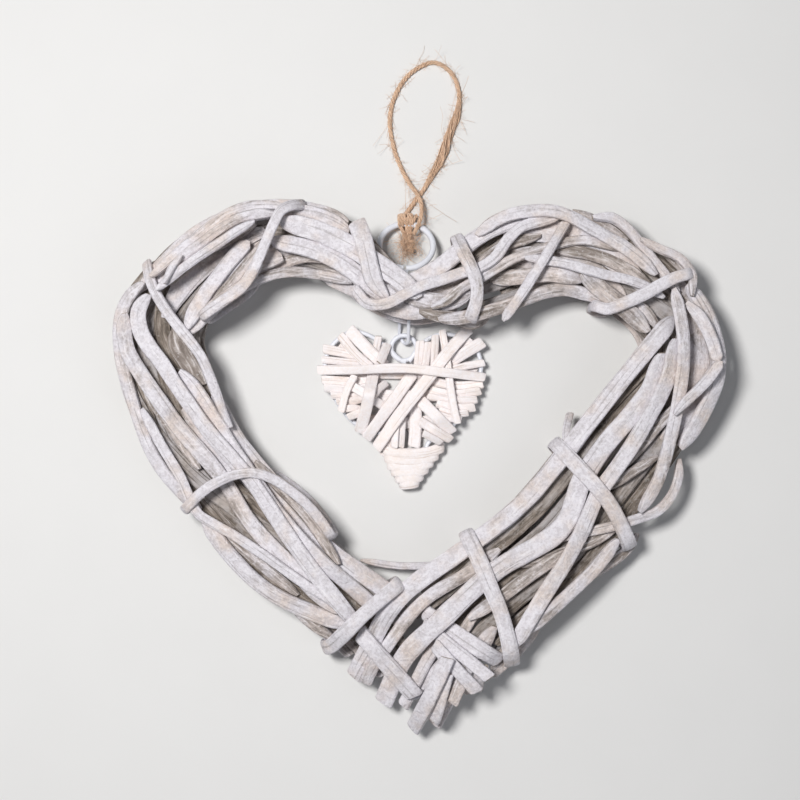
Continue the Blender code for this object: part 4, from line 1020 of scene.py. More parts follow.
def wrap(pile: Pile, route: Sequence[np.ndarray], width: float, depth: float, step: float = 0.0022,
         directions: int = 60) -> tuple[np.ndarray, np.ndarray]:
    """Wrap a strip round everything in the upright plane along a route.

    Args:
        pile: What is already laid.
        route: Plane points from the outer edge of the arm to its inner edge.
        width: The strip's width.
        depth: The strip's thickness.
        step: Spacing of the returned points.
        directions: How many directions the bundle's outline is felt from.

    Returns:
        The 3-D points of the closed loop and the level side direction at each.
    """
    line = even_points(curve_through(route), CELL * 2)
    reach = lengths_along(line)
    sides = side_directions(line)
    felt = []
    for across in np.linspace(-0.5, 0.5, 11):
        places = line + sides * across * width
        for facing in (1, -1):
            height = pile.look(facing, places)
            solid = height > pile.lowest_rest + 1e-6
            felt.append(np.column_stack([reach[solid], facing * height[solid]]))
    felt = np.vstack(felt)
    angles = np.arange(directions) * 2 * math.pi / directions
    facing = np.column_stack([np.cos(angles), np.sin(angles)])
    support = (felt @ facing.T).max(axis=0) + depth / 2 + GAP
    corners = np.array([np.linalg.solve(facing[[here, (here + 1) % directions]],
                                        support[[here, (here + 1) % directions]])
                        for here in range(directions)])
    loop = even_points(np.vstack([corners, corners[:1]]), step)[:-1]
    for _ in range(3):
        loop = (np.roll(loop, 1, axis=0) + 2 * loop + np.roll(loop, -1, axis=0)) / 4
    ahead = np.column_stack([-sides[:, 1], sides[:, 0]])
    points, across = [], []
    for place, height in loop:
        beyond = place - np.clip(place, 0, reach[-1])
        end = 0 if beyond < 0 else -1
        centre = np.array([np.interp(place, reach, line[:, axis]) for axis in range(2)])
        points.append((*(centre + ahead[end] * beyond), height))
        across.append([np.interp(place, reach, sides[:, axis]) for axis in range(2)])
    return np.array(points), np.array(across)


def loop_matrices(points: np.ndarray, across: np.ndarray, section: Section, seed: float) -> list[Matrix]:
    """Find the matrices of a closed band.

    Args:
        points: The 3-D points of the loop.
        across: The level side direction at each.
        section: The band's section.
        seed: Number that shifts its unevenness.

    Returns:
        One matrix for each point.
    """
    runs = np.roll(points, -1, axis=0) - np.roll(points, 1, axis=0)
    matrices = []
    for index, point in enumerate(points):
        travel = Vector(runs[index]).normalized()
        side = Vector((*across[index], 0.0)).normalized()
        side = (side - travel * side.dot(travel)).normalized()
        wide = 1 + section.waviness * math.sin(index * 2 * math.pi / len(points) * 3 + seed)
        matrices.append(section.matrix(Vector(point), side, travel, 1.0, 0.0, wide))
    return matrices


@dataclass
class Strip:
    """A strip of willow: where it runs, how wide and thick it is, how pale and how its ends are cut."""

    route: Sequence[np.ndarray]
    width: float
    thickness: float
    tone: float = 0.6
    slants: tuple[float, float] = (0.25, -0.25)
    tapers: tuple[float, float] = (0.009, 0.009)


def lay_strip(mesh: bmesh.types.BMesh, pile: Pile, strip: Strip, seed: float, start_run: float,
              sides: int = 16, fine: float = 0.003, facing: int = 1, step: float = 0.009) -> None:
    """Lay a strip on a pile and sweep it into a mesh.

    Args:
        mesh: A mesh from new_sweep_mesh.
        pile: What is already laid.
        strip: The strip.
        seed: Number that shifts its unevenness.
        start_run: Distance along the grain at its start.
        sides: Corners of its section.
        fine: Spacing of its rings.
        facing: 1 for the front of the pile and -1 for the back.
        step: Spacing of the stations that settle.
    """
    points, leans = pile.lay(strip.route, strip.width, strip.thickness, facing, step, fine)
    cut = Section(strip.width, strip.thickness, sides)
    sweep(mesh, cut, strip_matrices(points, cut, seed, leans, strip.slants, strip.tapers),
          start_run=start_run, tone=strip.tone)


@dataclass
class BigHeart:
    """The strips, bindings and inner rods of the big heart."""

    thin: float = 0.0026
    rim: float = 0.0038
    wide: float = 0.0084
    broad: float = 0.0074
    plain: float = 0.0061
    slim: float = 0.0047
    low: float = 0.0052
    crown_height: float = 0.0056
    ribbon_thickness: float = 0.0014
    ribbon: float = 0.0074
    lobe_ribbon: float = 0.0105
    log: float = 0.0115
    back_crown: float = 0.0050
    back_thickness: float = 0.0022
    core_rod: float = 0.0050
    rod_levels: tuple[float, float] = (0.0028, -0.0024)
    rod_places: tuple[float, ...] = (-0.52, -0.19, 0.19, 0.52)
    edge_rod: float = 0.0064
    binding_thickness: float = 0.0022
    cross_width: float = 0.0034
    cross_route: Places = ((-0.097, -0.164), (-0.025, -0.1735), (0.076, -0.170))
    ring_spacing: float = 0.0022
    cleft_rim_height: float = -0.0020
    frame_wire: float = 0.0026
    pile: Pile = field(default_factory=lambda: Pile(HEART_WIDTH * 0.62))

    def frame_line(self) -> np.ndarray:
        """Find the closed run of the frame wire through the cleft, the lobes and the tip.

        Returns:
            One row for each point.
        """
        lift = 0.0040
        cleft = np.array([-0.018, 0.3125]) * HEART_WIDTH
        tip = np.array([-0.003, -0.390]) * HEART_WIDTH
        rows = [(*cleft, lift), (*LEFT_ARM.point(6, 0.30), lift)]
        rows += [(*LEFT_ARM.offset_point(along, 0), 0.0) for along in range(12, 95, 6)]
        rows += [(*tip, 0.0)]
        rows += [(*RIGHT_ARM.offset_point(along, 0), 0.0) for along in range(12, 95, 6)][::-1]
        rows += [(*RIGHT_ARM.point(6, 0.30), lift)]
        return closed_curve(rows, 0.004)

    def stamp_crown(self) -> None:
        """Stamp the rounded front and back of the inner bundle, which the outer strips rest on."""
        for arm in (LEFT_ARM, RIGHT_ARM):
            for along in np.arange(6.0, 100.0, 0.12):
                fade = np.interp(along, (6, 14, 86, 99), (0.3, 1.0, 1.0, 0.1))
                across = np.linspace(-0.97, 0.97, 110)
                inner, outer = arm.point(along, across[0]), arm.point(along, across[-1])
                points = inner + (outer - inner) * np.linspace(0, 1, 110)[:, None]
                shape = fade * np.sqrt(1 - across ** 2)
                self.pile.stamp(points, self.crown_height * shape, -self.back_crown * shape)

    def core_rods(self, mesh: bmesh.types.BMesh, arm: Arm, shift: float) -> None:
        """Add the rods inside one arm, side by side round the frame wire.

        Args:
            mesh: The mesh that the rods go into.
            arm: The arm that they fill.
            shift: Number that shifts the rods' waves.
        """
        layout = [(-0.70, 0.0, self.edge_rod), (0.70, 0.0, self.edge_rod)]
        layout += [(place, height, self.core_rod) for height in self.rod_levels for place in self.rod_places]
        for number, (place, height, size) in enumerate(layout):
            places = np.arange(12.0 + number % 3, 90.0 - number % 2, 2.0)
            rows = []
            for along in places:
                sway = 0.05 * math.sin(along * 0.17 + number * 2.1 + shift)
                rows.append((*arm.fitted_point(along, place + sway), height
                             + 0.0003 * math.sin(along * 0.23 + number)))
            points = even_points(curve_through(rows), 0.004)
            rod = Section(size, size * 0.94, 12, 0.9, 0.06, 0.06)
            # A tone below zero leaves the rods mostly dark bare wood, which also serves as painted shade in
            # the gaps between the front strips.
            sweep(mesh, rod, strip_matrices(points, rod, number + shift),
                  start_run=number * 0.37, tone=0.09 * (number % 4) - 0.75)

    def back_strips(self, mesh: bmesh.types.BMesh, arm: Arm, shift: float) -> None:
        """Lay strips along the back of one arm, crossing each other as in front.

        Args:
            mesh: The mesh that the strips go into.
            arm: The arm.
            shift: Number that shifts their places.
        """
        routes = [
            [(3, 0.5), (13, 0.72), (30, 0.3), (46, -0.5), (62, -0.7), (78, -0.35), (97, 0.1)],
            [(2, -0.3), (12, -0.45), (26, -0.74), (42, -0.68), (58, -0.2), (74, 0.32), (97, 0.62)],
            [(14, 0.1), (28, 0.72), (44, 0.76), (60, 0.62), (76, 0.1), (93, -0.55)],
            [(8, 0.15), (24, -0.16), (40, -0.05), (56, 0.22), (72, 0.78), (92, 0.8)],
            [(30, -0.8), (46, -0.84), (62, -0.84), (78, -0.82), (94, -0.8)],
            [(12, 0.78), (24, 0.8), (36, 0.82), (48, 0.84), (62, 0.84)],
        ]
        for number, places in enumerate(routes):
            places = [(along, across + 0.05 * math.sin(number * 3 + shift)) for along, across in places]
            route = [arm.fitted_point(*place) for place in even_points(curve_through(places), 3.0)]
            tone = 0.30 + 0.08 * (number % 4)
            strip = Strip(route, self.plain, self.back_thickness, tone, (0.3, -0.3), SAWN)
            lay_strip(mesh, self.pile, strip, number + shift, number * 0.53, 12, 0.0035, -1)

    def under_ribbons(self) -> dict[str, list[list[tuple[float, float]]]]:
        """Return the places of the thin ribbons that cover the core of each arm."""
        return {
            "left": [
                [(4, 0.6), (15, 0.74), (30, 0.8), (45, 0.66), (60, 0.78), (75, 0.68), (92, 0.35)],
                [(5, 0.15), (15, 0.36), (30, 0.42), (45, 0.3), (60, 0.38), (75, 0.26), (95, 0.05)],
                [(4, -0.28), (14, -0.06), (28, 0.02), (45, -0.04), (60, 0.0), (75, -0.14), (96, -0.28)],
                [(10, -0.6), (20, -0.46), (32, -0.4), (45, -0.42), (58, -0.42), (72, -0.4), (94, -0.55)],
                [(16, -0.86), (26, -0.82), (36, -0.72), (50, -0.8), (58, -0.74), (66, -0.66), (75, -0.6),
                    (82, -0.64), (92, -0.8)],
                [(24, 0.86), (31, 0.5), (38, 0.1), (46, -0.3), (56, -0.62)],
                [(34, 0.9), (46, 0.88), (58, 0.52), (70, 0.12), (84, -0.4)],
                [(17, -0.05), (23, -0.3), (29, -0.52), (35, -0.62)],
                [(13, -0.3), (20, -0.6), (27, -0.78)],
                [(21, 0.2), (27, 0.12), (33, 0.02), (39, -0.05)],
            ],
            "right": [
                [(3, 0.35), (10, 0.62), (18, 0.8), (30, 0.8), (45, 0.8), (60, 0.82), (75, 0.82),
                    (90, 0.75)],
                [(3, 0), (10, 0.2), (20, 0.42), (32, 0.44), (45, 0.46), (60, 0.46), (75, 0.48), (93, 0.3)],
                [(2, -0.4), (10, -0.1), (20, 0.05), (32, 0.06), (45, 0.1), (60, 0.12), (75, 0.14),
                    (95, -0.05)],
                [(8, -0.5), (18, -0.36), (30, -0.32), (45, -0.26), (60, -0.22), (75, -0.2), (95, -0.4)],
                [(6, -1.0), (12, -0.95), (18, -0.84), (26, -0.74), (33, -0.62), (41, -0.44), (50, -0.56),
                    (60, -0.56), (75, -0.56), (95, -0.75)],
                [(40, -0.48), (48, -0.7), (56, -0.8), (64, -0.84), (76, -0.88), (92, -0.98)],
                [(28, -0.6), (36, -0.1), (44, 0.4), (54, 0.86)],
                [(12, 0.1), (19, -0.2), (26, -0.35), (33, -0.45)],
                [(15, 0.5), (22, 0.35), (29, 0.15), (35, 0.0)],
                [(36, 0.75), (43, 0.5), (49, 0.62), (55, 0.5)],
            ],
        }

    def hidden_strips(self) -> dict[str, list[Strip]]:
        """Return the low strips that only show in the gaps, for each arm."""
        thin, low, slim, plain = self.thin, self.low, self.slim, self.plain
        broad, wide = self.broad, self.wide
        return {
            "left": [
                Strip(left((26, -0.85), (31, -0.85), (36, -0.62)), low, thin, 0.45),
                Strip(left((22, -0.75), (15, -0.5), (9, -0.25), (3, -0.2), (-3, -0.25)), low, thin, 0.4),
                Strip(left((22, 0.42), (25, 0.25), (30, 0.28), (35, 0.27)), slim, thin, 0.55),
                Strip(left((40, -0.3), (44, -0.55), (50, -0.78)), self.log, thin, 0.0),
                Strip(plane((-0.262, -0.0137), (-0.2211, -0.0363), (-0.1809, -0.0715), (-0.148, -0.1199)),
                    0.004, thin, 0.6),
                Strip(left((48, 0.52), (53, 0.3), (60, 0.25)), low, thin, 0.3),
                Strip(left((66, 0.8), (71, 0.68), (76, 0.6), (81, 0.55)), low, thin, 0.35),
                Strip(left((52, -0.1), (60.5, -0.22), (64, -0.2)), low, thin, 0.75),
                Strip(left((81.5, 0.85), (85, 0.85), (88.5, 0.75)), low, thin, 0.5),
                Strip(left((14, 0.55), (9, 0.62), (5, 0.55), (1, 0.45), (-3, 0.5)), low, thin, 0.3),
            ],
            "right": [
                Strip(right((-2, 0.4), (3, 0.5), (6, 0.62), (9, 0.74), (13, 0.82), (17, 0.76), (20, 0.72)),
                    wide, thin, 0.95),
                Strip(right((34, -0.3), (38, -0.3), (40, -0.25)), low, thin, 0.4),
                Strip(right((22.5, 0.98), (25, 0.88), (29, 0.72)), low, thin, 0.5),
                Strip(right((44.5, 1), (47, 0.65), (49.5, 0.4), (53, 0.25), (58, 0.2), (62, 0.15)), low,
                    thin, 0.45),
                Strip(right((67, 0.8), (71, 0.62), (75, 0.3), (80, -0.02)), low, thin, 0.35),
                Strip(right((21, -0.05), (25, 0.02), (30, 0.1), (34.5, 0.15)), plain, thin, 0.3),
                Strip(right((33, 1.05), (35.5, 1.08), (37, 1.0)), low, thin, 0.6),
                Strip(right((37.5, 0.6), (40, 0.72), (43, 0.85), (45, 0.97)), low, thin, 0.5),
                Strip(right((57, 0.6), (60.5, 0.38), (64.5, 0.22)), slim, thin, 0.4),
                Strip(right((-2, -0.3), (3, -0.15), (8, 0.0), (14, 0.3), (19, 0.3)), low, thin, 0.3),
                Strip(plane((0.0137, -0.3265), (0.0865, -0.3808)), low, thin, 0.5, tapers=SAWN),
                Strip(plane((0.1, -0.235), (0.0477, -0.3178), (-0.0008, -0.3758)), low, thin, 0.6,
                    tapers=SAWN_END),
                Strip(plane((0.125, -0.27), (0.0625, -0.366), (0.026, -0.437)), broad, thin, 0.7,
                    tapers=SAWN_END),
                Strip(plane((0.05, -0.28), (0.0211, -0.3128), (-0.026, -0.405)), plain, thin, 0.75,
                    tapers=SAWN_END),
                Strip(plane((0.085, -0.33), (0.05, -0.385), (0.035, -0.405)), plain, thin, 0.6,
                    tapers=SAWN),
                Strip(plane((0.2516, 0.08), (0.2418, 0.037), (0.2566, -0.0123)), 0.0036, thin, 0.9,
                    tapers=(0.0, 0.009)),
                Strip(plane((0.199, -0.267), (0.158, -0.317), (0.1217, -0.3495)), plain, thin, 0.5,
                    tapers=SAWN_END),
                Strip(plane((0.3635, -0.1192), (0.3438, -0.1472), (0.3059, -0.1735), (0.2697, -0.1949),
                    (0.2113, -0.2475), (0.1645, -0.2887), (0.133, -0.3166)), low, thin, 0.45),
                Strip(plane((-0.1628, 0.3133), (-0.1217, 0.2936), (-0.0888, 0.276), (-0.0477, 0.256),
                    (-0.0066, 0.2475), (0.0345, 0.259), (0.0757, 0.287)), wide, thin, 0.75),
                Strip(plane((-0.0773, 0.3298), (-0.0395, 0.2919), (0.0016, 0.2673), (0.0428, 0.2623),
                    (0.0839, 0.2755)), wide, thin, 0.6),
                Strip(plane((0.0, 0.248), (0.03, 0.2393), (0.0592, 0.236), (0.0822, 0.2278), (0.115, 0.24)),
                    plain, thin, 0.4),
                Strip(plane((0.0592, -0.3084), (0.04, -0.37), (0.0214, -0.4268)), 0.008, thin, 0.85,
                    tapers=SAWN),
                Strip(plane((0.0872, -0.3166), (0.0543, -0.3956)), plain, thin, 0.7, tapers=SAWN),
                Strip(plane((0.1036, -0.3331), (0.0938, -0.3775)), plain, thin, 0.6, tapers=SAWN),
            ],
        }

    def front_strips(self) -> dict[str, Strip]:
        """Return the front strips by the CAD node of each, in the order they are laid."""
        thin, rim, slim, plain = self.thin, self.rim, self.slim, self.plain
        broad, wide = self.broad, self.wide
        return {
            "left_lobe_inner_rim": Strip(left((7, -0.62), (11, -0.9), (18, -0.98), (24, -0.98), (31, -0.97),
                (38, -0.82)), slim, rim, 0.6),
            "left_lobe_inner_strip": Strip(left((19, -0.55), (24, -0.48), (29, -0.6), (34, -0.7),
                (40, -0.66)), self.lobe_ribbon, thin, 0.55),
            "right_lobe_inner_rim": Strip(right((3, -1.15), (6, -1.22), (10.2, -1.17), (16.5, -1.02),
                (22, -0.98), (27.2, -0.93), (30, -0.84)), plain, rim, 0.5),
            "right_lobe_inner_strip": Strip(right((11, -0.3), (15, -0.48), (20, -0.6), (26, -0.62)), broad,
                thin, 0.55),
            "right_shaded_strip": Strip(right((25, -0.5), (30, -0.66), (35, -0.64), (39.5, -0.52)), wide,
                thin, 0.45),
            "tip_right_strip_1": Strip(plane((0.008, -0.246), (0.133, -0.3265)), broad, thin, 1.0,
                tapers=SAWN),
            "tip_right_strip_2": Strip(plane((0.008, -0.264), (0.115, -0.3495)), plain, thin, 0.9,
                tapers=SAWN),
            "tip_right_strip_3": Strip(plane((0.025, -0.297), (0.095, -0.374)), plain, thin, 0.9,
                tapers=SAWN),
            "tip_low_strip": Strip(plane((0.043, -0.3446), (0.023, -0.4235)), broad, thin, 1.0,
                tapers=SAWN),
            "left_lobe_outer_rim": Strip(left((11.5, 0.84), (15, 0.83), (20, 0.84), (25, 0.84), (30, 0.79),
                (34.5, 0.72), (37.5, 0.78)), plain, rim, 0.7),
            "left_outer_rim": Strip(left((36.5, 0.76), (38, 0.89), (41, 0.93), (45, 0.86), (50, 0.87),
                (55, 0.95), (59, 0.93), (64, 0.82)), plain, rim, 0.7),
            "left_lower_outer_rim": Strip(left((65, 0.82), (68, 0.93), (72, 0.98), (76, 0.97), (80, 0.85),
                (85, 0.55), (88.5, 0.3)), broad, rim, 0.7),
            "left_inner_rim": Strip(left((52, -0.88), (57, -0.8), (62, -0.74), (67, -0.72), (72, -0.66),
                (78, -0.58), (82.5, -0.66), (88, -0.84), (91, -0.92)), wide, thin, 0.85),
            "left_lower_inner_rim": Strip(left((64, -0.78), (68.2, -0.78), (72.5, -0.78), (76, -0.72),
                (79, -0.64), (82, -0.55)), slim, rim, 0.4),
            "left_lobe_crest_strip": Strip(left((11, 0.62), (15, 0.66), (20, 0.66), (25, 0.66), (30, 0.56),
                (36.5, 0.42)), broad, thin, 0.8),
            "left_lobe_broad_strip": Strip(plane((-0.279, 0.362), (-0.3085, 0.329), (-0.333, 0.2956),
                (-0.356, 0.2637), (-0.379, 0.22)), broad, thin, 0.85, tapers=(0.002, 0.009)),
            "left_shoulder_strip": Strip(left((20.5, -0.1), (15, -0.28), (10, -0.32), (5, -0.38),
                (0, -0.45)), wide, thin, 0.95),
            "left_cleft_strip": Strip(left((19, 0.35), (15, 0.24), (10, 0.22), (6, 0.3), (2, 0.3),
                (-1.5, 0.1)), 0.0094, thin, 0.95),
            "left_inner_strip": Strip(left((47, -0.36), (49.5, -0.52), (53, -0.62), (58, -0.62),
                (64, -0.54), (70, -0.42), (76, -0.34), (81.5, -0.36), (86, -0.4), (90, -0.42)), broad, thin,
                0.8),
            "left_second_strip": Strip(left((40, 0.84), (42.5, 0.72), (45, 0.53), (50, 0.26), (55, 0.1),
                (60.2, -0.01)) + plane((-0.3125, -0.0414), (-0.2817, -0.0921), (-0.2418, -0.1373),
                (-0.2105, -0.1679), (-0.1711, -0.2097), (-0.1299, -0.2459)), broad, thin, 0.7),
            "left_outer_strip": Strip(left((50, 0.7), (55, 0.64), (60, 0.68)) + plane((-0.3627, -0.0814),
                (-0.3125, -0.1123), (-0.2516, -0.1521), (-0.2007, -0.1883), (-0.1711, -0.2081),
                (-0.1431, -0.2262), (-0.1217, -0.2459)), slim, thin, 0.95),
            "right_cleft_low_strip": Strip(right((2.5, -0.7), (4.5, -0.55), (7, -0.27), (10, -0.2),
                (15, -0.05), (21.5, 0.12), (25, 0.33), (28.5, 0.4)), slim, thin, 0.5),
            "right_lobe_white_strip": Strip(plane((0.172, 0.334), (0.228, 0.327), (0.2878, 0.31),
                (0.3566, 0.294), (0.4, 0.27)), slim, thin, 0.95),
            "right_lobe_outer_strip": Strip(plane((0.285, 0.402), (0.312, 0.404), (0.345, 0.382),
                (0.374, 0.345), (0.402, 0.31), (0.425, 0.28)), slim, rim, 0.85),
            "right_outer_rim": Strip(right((37, 0.82), (41, 0.86), (45.5, 0.9), (50, 0.89), (54.5, 0.88)),
                broad, rim, 0.75),
            "right_bowed_strip": Strip(plane((0.4293, 0.0058), (0.424, -0.0411), (0.393, -0.08),
                (0.3528, -0.0942), (0.3117, -0.1061), (0.2286, -0.1237), (0.1694, -0.1414)), slim, thin,
                0.7),
            "right_lower_outer_rim": Strip(right((69, 0.96), (73, 0.98), (77, 0.97), (81, 0.98),
                (86, 0.95)), plain, rim, 0.7),
            "right_lower_middle_strip": Strip(right((74, 0.35), (80, 0.2), (85, 0.12), (90, -0.02)), plain,
                thin, 0.5),
            "right_inner_rim": Strip(plane((0.4161, 0.2377), (0.375, 0.1883), (0.3224, 0.1225),
                (0.2722, 0.0584)) + right((66, -0.85), (72, -0.86), (78, -0.9)) + plane((0.0671, -0.1479),
                (-0.0155, -0.2061), (-0.0543, -0.2498), (-0.0785, -0.2984), (-0.108, -0.357)), wide, thin,
                0.8, tapers=SAWN_END),
            "right_second_strip": Strip(plane((0.1332, -0.1423), (0.0816, -0.1817), (0.023, -0.2163),
                (-0.0148, -0.2508), (-0.0493, -0.2985), (-0.0757, -0.3372), (-0.0885, -0.366)), plain, thin,
                0.6, tapers=SAWN_END),
            "right_middle_strip": Strip(right((44, -0.4), (50, -0.35), (55, -0.33), (60, -0.35),
                (66, -0.27)) + plane((0.2319, -0.1094), (0.125, -0.1768), (0.0477, -0.2459),
                (-0.0033, -0.2952), (-0.0313, -0.3331), (-0.0592, -0.4005)), 0.0092, thin, 0.85,
                tapers=SAWN_END),
            "left_broad_strip": Strip(left((37.3, 0.5), (40, 0.52), (42.5, 0.22), (45, -0.03), (49, -0.22),
                (56.5, -0.4), (62, -0.46), (65.8, -0.46), (70, -0.36), (74.8, -0.22), (79.5, -0.1),
                (84, 0.0), (89.5, 0.12)), broad, thin, 0.95),
            "right_long_strip": Strip(right((42, -0.05), (48, -0.14), (52, -0.08), (57, 0.02), (62, 0.08),
                (66, 0.1), (70, 0.25), (75, 0.43), (80, 0.62), (85, 0.83), (88.5, 0.98)), broad, thin, 0.8),
            "right_upright_strip": Strip(right((36.5, 0.5), (40, 0.23), (45, 0.07), (50, 0.27), (55, 0.6),
                (60, 0.88), (64.5, 0.96)), plain, thin, 0.7),
            "left_cleft_binding": Strip(left((10.8, 0.98), (10.2, 0.8), (8, 0.45), (6.2, 0.05), (4.2, -0.3),
                (2.2, -0.5)), wide, thin, 0.9, tapers=(0.0, 0.014)),
            "cleft_cross_strip": Strip(plane((-0.1044, 0.2832), (-0.0938, 0.2669), (-0.0773, 0.257),
                (-0.058, 0.257)) + right((2, 0.12), (5, 0.15), (8, 0.12), (10.6, 0.05), (12.8, 0.15),
                (15, 0.38), (17.5, 0.58), (21, 0.7)), 0.0052, thin, 0.9, tapers=(0.0, 0.009)),
            "right_lobe_slanted_strip": Strip(plane((0.239, 0.392), (0.2178, 0.357), (0.1924, 0.3166),
                (0.164, 0.272), (0.1357, 0.232)), slim, thin, 0.85, tapers=(0.0, 0.004)),
            "right_lobe_crest_strip": Strip(right((11.5, 0.87), (14.5, 0.93), (17, 0.91), (20, 0.88),
                (22.5, 0.76), (25, 0.6), (30, 0.5), (34, 0.42)), plain, thin, 0.75),
            "tip_left_strip": Strip(plane((-0.0979, -0.2788), (-0.053, -0.331), (-0.0058, -0.3857)), wide,
                thin, 0.9, tapers=SAWN),
            "left_slanted_strip": Strip(left((34.7, 1.08), (36.5, 0.45), (38.5, -0.2), (41.5, -0.72),
                (46, -0.98), (50, -1.02), (54.5, -0.94), (58, -0.86)), 0.0048, thin, 0.95,
                tapers=(0.0, 0.02)),
            "tip_top_strip": Strip(plane((0.046, -0.3166), (0.02, -0.3775), (-0.01, -0.443)), broad, thin,
                0.95, tapers=SAWN),
        }

    def over_strips(self) -> dict[str, list[Strip]]:
        """Return the narrow strips that lie over the front strips of each lobe, under the bindings."""
        thin, rim, slim = self.thin, self.rim, self.slim
        return {
            "left": [
                Strip(plane((-0.4359, 0.3026), (-0.3988, 0.3368), (-0.3623, 0.3666), (-0.3352, 0.389),
                    (-0.3164, 0.403), (-0.289, 0.415), (-0.2571, 0.42), (-0.215, 0.416)), slim, thin, 0.72),
                Strip(plane((-0.4035, 0.3189), (-0.3623, 0.3505), (-0.3349, 0.3709), (-0.3026, 0.3921),
                    (-0.2706, 0.403), (-0.2331, 0.405)), slim, thin, 0.6),
                Strip(plane((-0.426, 0.2816), (-0.385, 0.314), (-0.3485, 0.3403), (-0.3118, 0.3645),
                    (-0.2847, 0.3824), (-0.2661, 0.3921)), 0.0042, rim, 0.9),
                Strip(plane((-0.41, 0.2902), (-0.401, 0.312), (-0.382, 0.336)), 0.0034, thin, 0.85),
                Strip(plane((-0.25, 0.365), (-0.269, 0.337), (-0.302, 0.296), (-0.335, 0.26)), slim, thin,
                    0.45),
                Strip(plane((-0.256, 0.325), (-0.275, 0.3), (-0.315, 0.27), (-0.355, 0.24)), slim, thin,
                    0.55),
            ],
            "right": [
                Strip(plane((0.362, 0.366), (0.402, 0.345), (0.434, 0.328), (0.447, 0.298), (0.444, 0.272)),
                    0.0044, thin, 0.6),
                Strip(plane((0.434, 0.262), (0.458, 0.234), (0.476, 0.196), (0.4845, 0.164)), 0.006, thin,
                    0.75, tapers=(0.009, 0.002)),
                Strip(plane((0.488, 0.166), (0.466, 0.134), (0.438, 0.106), (0.414, 0.08)), slim, thin, 0.9,
                    tapers=(0.002, 0.009)),
            ],
        }

    def bindings(self) -> list[tuple[str, list[np.ndarray], float, float]]:
        """Return each wrapped band: its name, its route from outer to inner edge, its tone and width."""
        return [
            ("left_lobe_binding", plane((-0.193, 0.421), (-0.208, 0.418), (-0.224, 0.408),
                (-0.2337, 0.3899), (-0.2488, 0.3546), (-0.2666, 0.3141), (-0.2868, 0.2837),
                (-0.3224, 0.2584), (-0.349, 0.24)), 0.85, 0.005),
            ("left_middle_binding", plane((-0.417, -0.113), (-0.3931, -0.087), (-0.3526, -0.0465),
                (-0.3122, -0.023), (-0.2734, -0.015), (-0.2413, -0.0235), (-0.212, -0.042),
                (-0.1845, -0.065), (-0.1605, -0.093), (-0.144, -0.118)), 0.85, 0.0046),
            ("left_lower_binding", plane((-0.154, -0.306), (-0.1414, -0.2985), (-0.101, -0.256),
                (-0.0614, -0.2216), (-0.033, -0.199)), 0.9, 0.0072),
            ("right_cleft_binding", right((9.2, 1.3), (9.1, 0.6), (9.1, 0.1), (8.9, -0.3), (8.0, -0.75),
                (6.6, -1.3)), 0.8, 0.0062),
            ("right_lobe_binding", plane((0.44, 0.3085), (0.4161, 0.3018), (0.3931, 0.2903),
                (0.3635, 0.2738), (0.3339, 0.2607), (0.3076, 0.2508), (0.2878, 0.256)), 0.9, 0.0056),
            ("right_middle_binding", right((68.8, 1.3), (66.4, 0.5), (65.4, 0.0), (64.8, -0.5), (64, -1.3)),
                0.85, 0.0072),
            ("right_lower_binding", right((90.3, 1.3), (88.3, 0.8), (86.3, 0.3), (84.8, -0.2),
                (83.5, -0.65), (82.3, -1.3)), 0.9, 0.0074),
        ]

    def level_strips(self) -> None:
        """Build the strips that the inner bundle rests on, at the cleft's rim and behind the opening."""
        for name, places, width, thickness in (
                ("cleft_rim_strip", CLEFT_RIM_ROUTE, self.slim, self.rim),
                ("cross_strip_behind_the_opening", self.cross_route, self.cross_width, self.thin)):
            flat = even_points(curve_through(plane(*places)), self.ring_spacing)
            points = np.column_stack([flat, np.full(len(flat), self.cleft_rim_height)])
            self.pile.cover(points, width, thickness)
            mesh = new_sweep_mesh()
            cut, seed = Section(width, thickness, 24), len(name) * 0.3
            sweep(mesh, cut, strip_matrices(points, cut, seed, None, Strip.slants, Strip.tapers),
                  start_run=seed * 0.71, tone=0.7)
            roughen(mesh, cut.ripple, seed)
            publish(mesh, f"{name}_willow", Finish.WILLOW, (name,))

    def front_strip(self, mesh: bmesh.types.BMesh, strip: Strip, seed: float) -> None:
        """Lay one finely modelled strip of the front and roughen the mesh."""
        lay_strip(mesh, self.pile, strip, seed, seed * 0.71, 24, self.ring_spacing)
        roughen(mesh, Section.ripple, seed)

